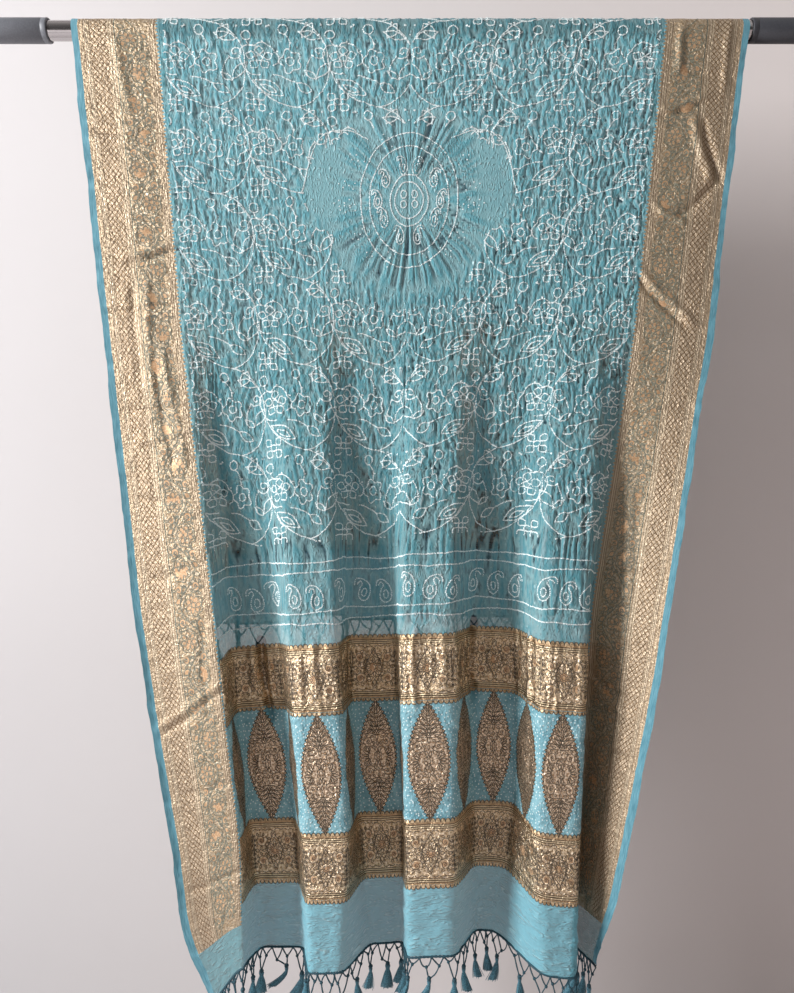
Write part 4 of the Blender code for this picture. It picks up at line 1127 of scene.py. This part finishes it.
for side in ("front", "back"):
    hem = HEM[side]
    halves = [f"{side}_field_left_half", f"{side}_field_right_half"]
    for part, start, above, below in (
        ("upper", hem - UPPER_TOP, halves, [f"{side}_medallions_cloth"]),
        ("lower", hem - LOWER_TOP, [f"{side}_medallions_cloth"], [f"{side}_plain_end_cloth"]),
    ):
        surface, node = f"{side}_band_{part}_cloth", f"{side}_band_{part}"
        places = [np.array((FIELD_LEFT + FACET * i, start + 13.0)) for i in range(FACETS)]
        lines = set_in([line + place for place in places for line in band_figure()], start)
        lines = [line for line in lines if line[:, 0].min() > FIELD_LEFT + 1 and line[:, 0].max() < FIELD_RIGHT - 1]
        ribbons(f"{side}_band_{part}_figure", surface, lines, 0.8, 0.25, brown_thread, node, "gold_zari")
        rounds = ((33, 27, 6), (14, 14, 4), (52, 14, 4), (14, 41, 4), (52, 41, 4))
        blooms = [(x + dx, y + dy, r, r) for x, y in places for dx, dy, r in rounds]
        hearts(f"{side}_band_{part}_hearts", surface, blooms, 0.1, peach_thread, node, "gold_zari")
        toothed(f"{side}_band_{part}_teeth_above", above, start, -1, node, "gold_zari")
        toothed(f"{side}_band_{part}_teeth_below", below, start + UPPER_BAND, 1, node, "gold_zari")
    middle = hem - MEDALLION_TOP + MEDALLION_BAND / 2
    places = [np.array((FIELD_LEFT + FACET * (i + 0.5), middle)) for i in range(FACETS)]
    ferns = set_in([line + place for place in places for line in fern_figure()], 3.0)
    surface, node = f"{side}_medallions_cloth", f"{side}_medallions"
    ribbons(f"{side}_medallion_ferns", surface, ferns, 0.8, 0.25, brown_thread, node, "medallion_brocade")
    top, foot = (-OVER if side == "front" else 0.0), hem - BORDER_STOP
    lines, blooms = creeper_figure(top, foot)
    for hand, flip, rim, seed in (("left", 1, SELVEDGE, 7.0), ("right", -1, BORDER_RIGHT, 9.0)):
        placed = [line * (flip, 1) + (rim, 0) for line in set_in(lines, seed)]
        filled = [(flip * x + rim, y, rx, ry) for x, y, rx, ry in blooms]
        surface, node = f"{side}_border_{hand}_cloth", f"{side}_border_{hand}"
        ribbons(f"{side}_creeper_{hand}_outline", surface, placed, 1.1, 0.3, slate_thread, node, "gold_zari")
        hearts(f"{side}_creeper_{hand}_flowers", surface, filled, 0.14, peach_thread, node, "gold_zari")

# ---------------------------------------------------------------- the knotted fringe
# The cut ends of the warp are rolled into a cord along the hem, knotted into an open net, and gathered into
# tassels with a wrapped neck. The yarn is mercerised cotton of a darker teal, soft with a slight shine.
TASSELS = 33
PITCH = CLOTH_WIDTH / TASSELS
HEM_CORD, NET_CORD, CORD_RINGS = 1.5, 0.95, 6
NET_DROP, HOLD_DROP, NECK_LONG, SKIRT_LONG = 14.0, 30.0, 7.0, 25.0

# Loose strands of mercerised cotton in the tassels, and the same yarn twisted hard for the net and the hem
yarn_thread = grained(
    "dark_teal_mercerised_yarn", (700.0,) * 3, ((0.3, "17424F"), (0.72, "4A8699")), (0.6, 0.0006),
    Roughness=0.62, Sheen_Weight=0.25,
)
cord_thread = grained("dark_teal_net_cord", (900.0,) * 3, ((0.0, "0B2630"), (1.0, "2B5866")), Roughness=0.7)


def hang_at(side, across, along):
    """Places in mm at single flat places, which may lie below the hem but not over the rail."""
    across = np.clip(across, 0.0, CLOTH_WIDTH)
    x, reach, drop = [
        np.sum(line_weights(across, rounding) * rows.T, axis=1)
        for rounding, rows in zip(ROUNDINGS, fold_lines(side, along))
    ]
    return np.stack([x, TOWARD[side] * reach, -(along + drop)], axis=1)


def ring_faces(count, rings, sides):
    """Quads that join each ring to the next, for a number of like tubes."""
    i, j, k = np.meshgrid(np.arange(count), np.arange(rings - 1), np.arange(sides), indexing="ij")
    a, b = (i * rings + j) * sides + k, (i * rings + j) * sides + (k + 1) % sides
    return np.stack([a, a + sides, b + sides, b], axis=3).reshape(-1, 4)


def tubes(paths, radius, sides):
    """Points and quads of round cords along paths (m, n, 3), with a ring across each path at every point."""
    along = np.gradient(paths, axis=1)
    along /= np.linalg.norm(along, axis=2)[..., None]
    one = np.cross(along, np.array([0.31, -0.94, 0.12]))
    one /= np.linalg.norm(one, axis=2)[..., None]
    two = np.cross(along, one)
    angle = np.linspace(0, 2 * math.pi, sides, endpoint=False)
    radius = np.broadcast_to(radius, paths.shape[:2])[..., None, None]
    ring = one[:, :, None] * np.cos(angle)[:, None] + two[:, :, None] * np.sin(angle)[:, None]
    points = paths[:, :, None] + ring * radius
    return points.reshape(-1, 3), ring_faces(*paths.shape[:2], sides)[:, [0, 3, 2, 1]]


def joined(parts):
    """Several (points, quads) as one."""
    starts = np.cumsum([0] + [len(p) for p, _ in parts[:-1]])
    return np.concatenate([p for p, _ in parts]), np.concatenate([q + s for (_, q), s in zip(parts, starts)])


def knots(centres, size):
    """Small rounded knots: five-point rings that swell and close."""
    rise = np.array([-1.0, -0.75, 0.0, 0.75, 1.0])[None, :, None] * np.array([0.0, 0.0, 1.0])
    paths = centres[:, None] + rise * size[:, None, None]
    return tubes(paths, size[:, None] * np.array([0.08, 0.8, 1.1, 0.8, 0.08]), 6)


def fringe(side):
    """The cord along a fall's hem with its knotted net, and its tassels."""
    random = np.random.default_rng(23 if side == "front" else 29)
    hem = HEM[side]
    edge = np.linspace(1.0, CLOTH_WIDTH - 1.0, 400)
    roll = hang_at(side, edge, 0 * edge + hem + 1.2) * MM
    beads = HEM_CORD * (1 + 0.28 * np.cos(2 * math.pi * edge / 5.5)) * MM
    parts = [tubes(roll[None], beads[None], 6)]
    centre = (np.arange(TASSELS) + 0.5) * PITCH
    wander = random.normal(0.0, 1.0, (4, TASSELS, 2)) * (2.4, 3.0)
    left, right = [
        np.stack([centre + s * PITCH / 4, np.full(TASSELS, NET_DROP)], axis=1) + moved
        for s, moved in ((-1, wander[0]), (1, wander[1]))
    ]
    hold = np.stack([centre, np.full(TASSELS, HOLD_DROP)], axis=1) + wander[2]
    hems = [np.stack([centre + s * PITCH / 2, np.full(TASSELS, 2.0)], axis=1) for s in (-1, 0, 1)]
    t = np.linspace(0, 1, CORD_RINGS)[None, :, None]
    strands = ((hems[0], left), (hems[1], left), (hems[1], right), (hems[2], right), (left, hold), (right, hold))
    for start, end in strands:
        flat = start[:, None] * (1 - t) + end[:, None] * t
        flat[:, :, 1] += 2.4 * np.sin(math.pi * t[..., 0]) * random.uniform(-0.3, 1.4, (TASSELS, 1))
        flat[:, :, 0] += 1.6 * np.sin(math.pi * t[..., 0]) * random.uniform(-1.0, 1.0, (TASSELS, 1))
        paths = hang_at(side, flat[..., 0].ravel(), hem + flat[..., 1].ravel()).reshape(TASSELS, -1, 3) * MM
        parts.append(tubes(paths, NET_CORD * MM * (1 + 0.12 * np.cos(t[..., 0] * 19)), 4))
    spots = np.concatenate([hems[0], hems[1], left, right, hold])
    size = np.repeat([1.9, 2.0, 2.9], [2 * TASSELS, 2 * TASSELS, TASSELS])
    parts.append(knots(hang_at(side, spots[:, 0], hem + spots[:, 1]) * MM, size * MM))
    nodes = [f"{side}_fringe_{part}" for part in ("left", "middle", "right")]
    piece(f"{side}_fringe_net", *joined(parts), cord_thread, nodes, "tassel_thread")
    tassels(side, random, hold, nodes)


def tassels(side, random, hold, nodes):
    """Each a wrapped neck, then a fluted skirt with loose ends; a few are flicked to one side."""
    head = hang_at(side, hold[:, 0], HEM[side] + hold[:, 1]) * MM
    lean = random.normal(0.0, 0.10, (TASSELS, 2))
    flicked = random.choice(TASSELS, 7, replace=False)
    lean[flicked, 0] += random.choice([-0.34, 0.3], 7) * (1.0 if side == "front" else 0.3)
    long = random.uniform(0.88, 1.1, TASSELS) * (NECK_LONG + SKIRT_LONG) * MM
    share = np.array([0.0, 0.04, 0.1, 0.17, 0.23, 0.27, 0.4, 0.58, 0.78, 0.96, 1.0])
    swell = np.array([1.0, 2.4, 2.7, 2.2, 2.0, 2.4, 3.5, 4.4, 5.1, 5.6, 1.4])
    drift = np.clip(share - 0.2, 0, 1) ** 1.4
    axis = np.zeros((TASSELS, len(share), 3))
    axis[:, :, 0] = head[:, :1] + lean[:, :1] * long[:, None] * drift * 1.6
    axis[:, :, 1] = head[:, 1:2] + lean[:, 1:] * long[:, None] * drift
    axis[:, :, 2] = head[:, 2:] - long[:, None] * share * (1 - 0.25 * np.abs(lean[:, :1]) * share)
    sides = 18
    flute = 1 + 0.256 * np.cos(np.arange(sides) * math.pi)[None, None] * np.clip(share - 0.2, 0, 1)[None, :, None]
    angle = np.linspace(0, 2 * math.pi, sides, endpoint=False)
    fat = random.uniform(0.8, 1.4, TASSELS)[:, None, None]
    ring = np.stack([np.cos(angle), 0.62 * np.sin(angle), 0 * angle], axis=1)
    skirt = axis[:, :, None] + ring * (swell[None, :, None] * flute * fat)[..., None] * MM
    parts = [(skirt.reshape(-1, 3), ring_faces(TASSELS, len(share), sides))]
    ends = 10
    turn = random.uniform(0, 2 * math.pi, (TASSELS, ends))
    spread = random.uniform(0.5, 1.15, (TASSELS, ends))
    t = np.linspace(0, 1, CORD_RINGS)
    row = 0.25 + 0.75 * t
    core = np.array([[np.interp(row, share, line) for line in one.T] for one in axis]).transpose(0, 2, 1)
    loose = np.repeat(core[:, None], ends, axis=1)
    reach = np.array([2.2, 3.4, 4.8, 5.9, 6.9, 7.6]) * MM
    loose[..., 0] += np.cos(turn)[..., None] * reach * spread[..., None]
    loose[..., 1] += 0.62 * np.sin(turn)[..., None] * reach * spread[..., None]
    loose[..., 2] -= (t**2 * 1.6 * MM) * random.uniform(-1.0, 1.0, (TASSELS, ends))[..., None]
    parts.append(tubes(loose.reshape(-1, CORD_RINGS, 3), 0.38 * MM * np.ones((1, 6)), 3))
    piece(f"{side}_fringe_tassels", *joined(parts), yarn_thread, nodes, "tassel_thread")


for side in ("front", "back"):
    fringe(side)

# ---------------------------------------------------------------- the rail
# A chromed steel tube with a rolled seam, held at each end in a moulded nylon sleeve with a rounded lip.

# Chromed steel, with faint lines along the tube from its drawing
chrome = grained(
    "chromed_steel_tube", (4.0, 900.0, 900.0), ((0.0, "A9A3A3"), (1.0, "D6D2D2")), (0.15, 0.0001),
    Metallic=1.0, Roughness=0.2,
)
# Moulded nylon, satin, with the fine stipple of the mould
grey_nylon, dark_nylon = [
    grained(name, (500.0,) * 3, ((0.0, dark), (1.0, light)), (0.2, 0.0001), Roughness=0.46)
    for name, dark, light in (
        ("grey_moulded_nylon", "5F6167", "7A7C83"),
        ("dark_moulded_nylon", "303136", "46474D"),
    )
]


def turned(name, profile, finish, node, slot, seam=0.0):
    """A profile of (x, radius) in mm turned about the X axis; seam is the depth of one narrow groove."""
    x, radius = np.array(profile, float).T[..., None]
    sides = 72
    angle = np.linspace(0, 2 * math.pi, sides, endpoint=False)
    groove = seam * np.exp(-(((angle - 3.78) / 0.07) ** 2))
    radius = np.maximum(radius - groove * (radius > 12.0), 0.0)
    ring = np.stack([x + 0 * radius, radius * np.cos(angle), radius * np.sin(angle)], axis=2)
    return piece(name, ring.reshape(-1, 3) * MM, ring_faces(1, len(profile), sides), finish, [node], slot)


def lipped(end, mouth):
    """A cup with rounded lips: from the middle of its closed end, out, along, round the mouth and back in."""
    s = 1.0 if mouth > end else -1.0
    turn = np.radians([0, 22, 45, 68, 90])
    back = [(end + s * 1.5 * (1 - math.sin(a)), 14.0 + 1.5 * math.cos(a)) for a in turn[::-1]]
    front = [(mouth - s * 0.9 * (1 - math.sin(a)), 14.6 + 0.9 * math.cos(a)) for a in turn]
    line = [(mouth - s * inset, radius) for inset, radius in ((8.0, 15.5), (7.6, 15.2), (7.0, 15.2), (6.6, 15.5))]
    return [(end, 0.0), *back, *line, *front, (mouth, 12.9), (mouth - s * 12.0, 12.9)]


def facing_out(profile):
    """The same profile, run so that its faces point outwards."""
    return profile if profile[0][0] > profile[-1][0] else profile[::-1]


tube = [(x, TUBE_RADIUS) for x in (557.2, 540.0, -540.0, -557.2)]
turned("rail_tube_chromed", tube, chrome, "rail_tube", "chromed_tube", 0.55)
for hand, end, mouth, finish, slot in (
    ("left", -560.0, -462.0, grey_nylon, "grey_sleeve"),
    ("right", 560.0, 469.0, dark_nylon, "dark_sleeve"),
):
    cup = facing_out(lipped(end, mouth))
    turned(f"rail_sleeve_{hand}_moulded", cup, finish, f"rail_sleeve_{hand}", slot)
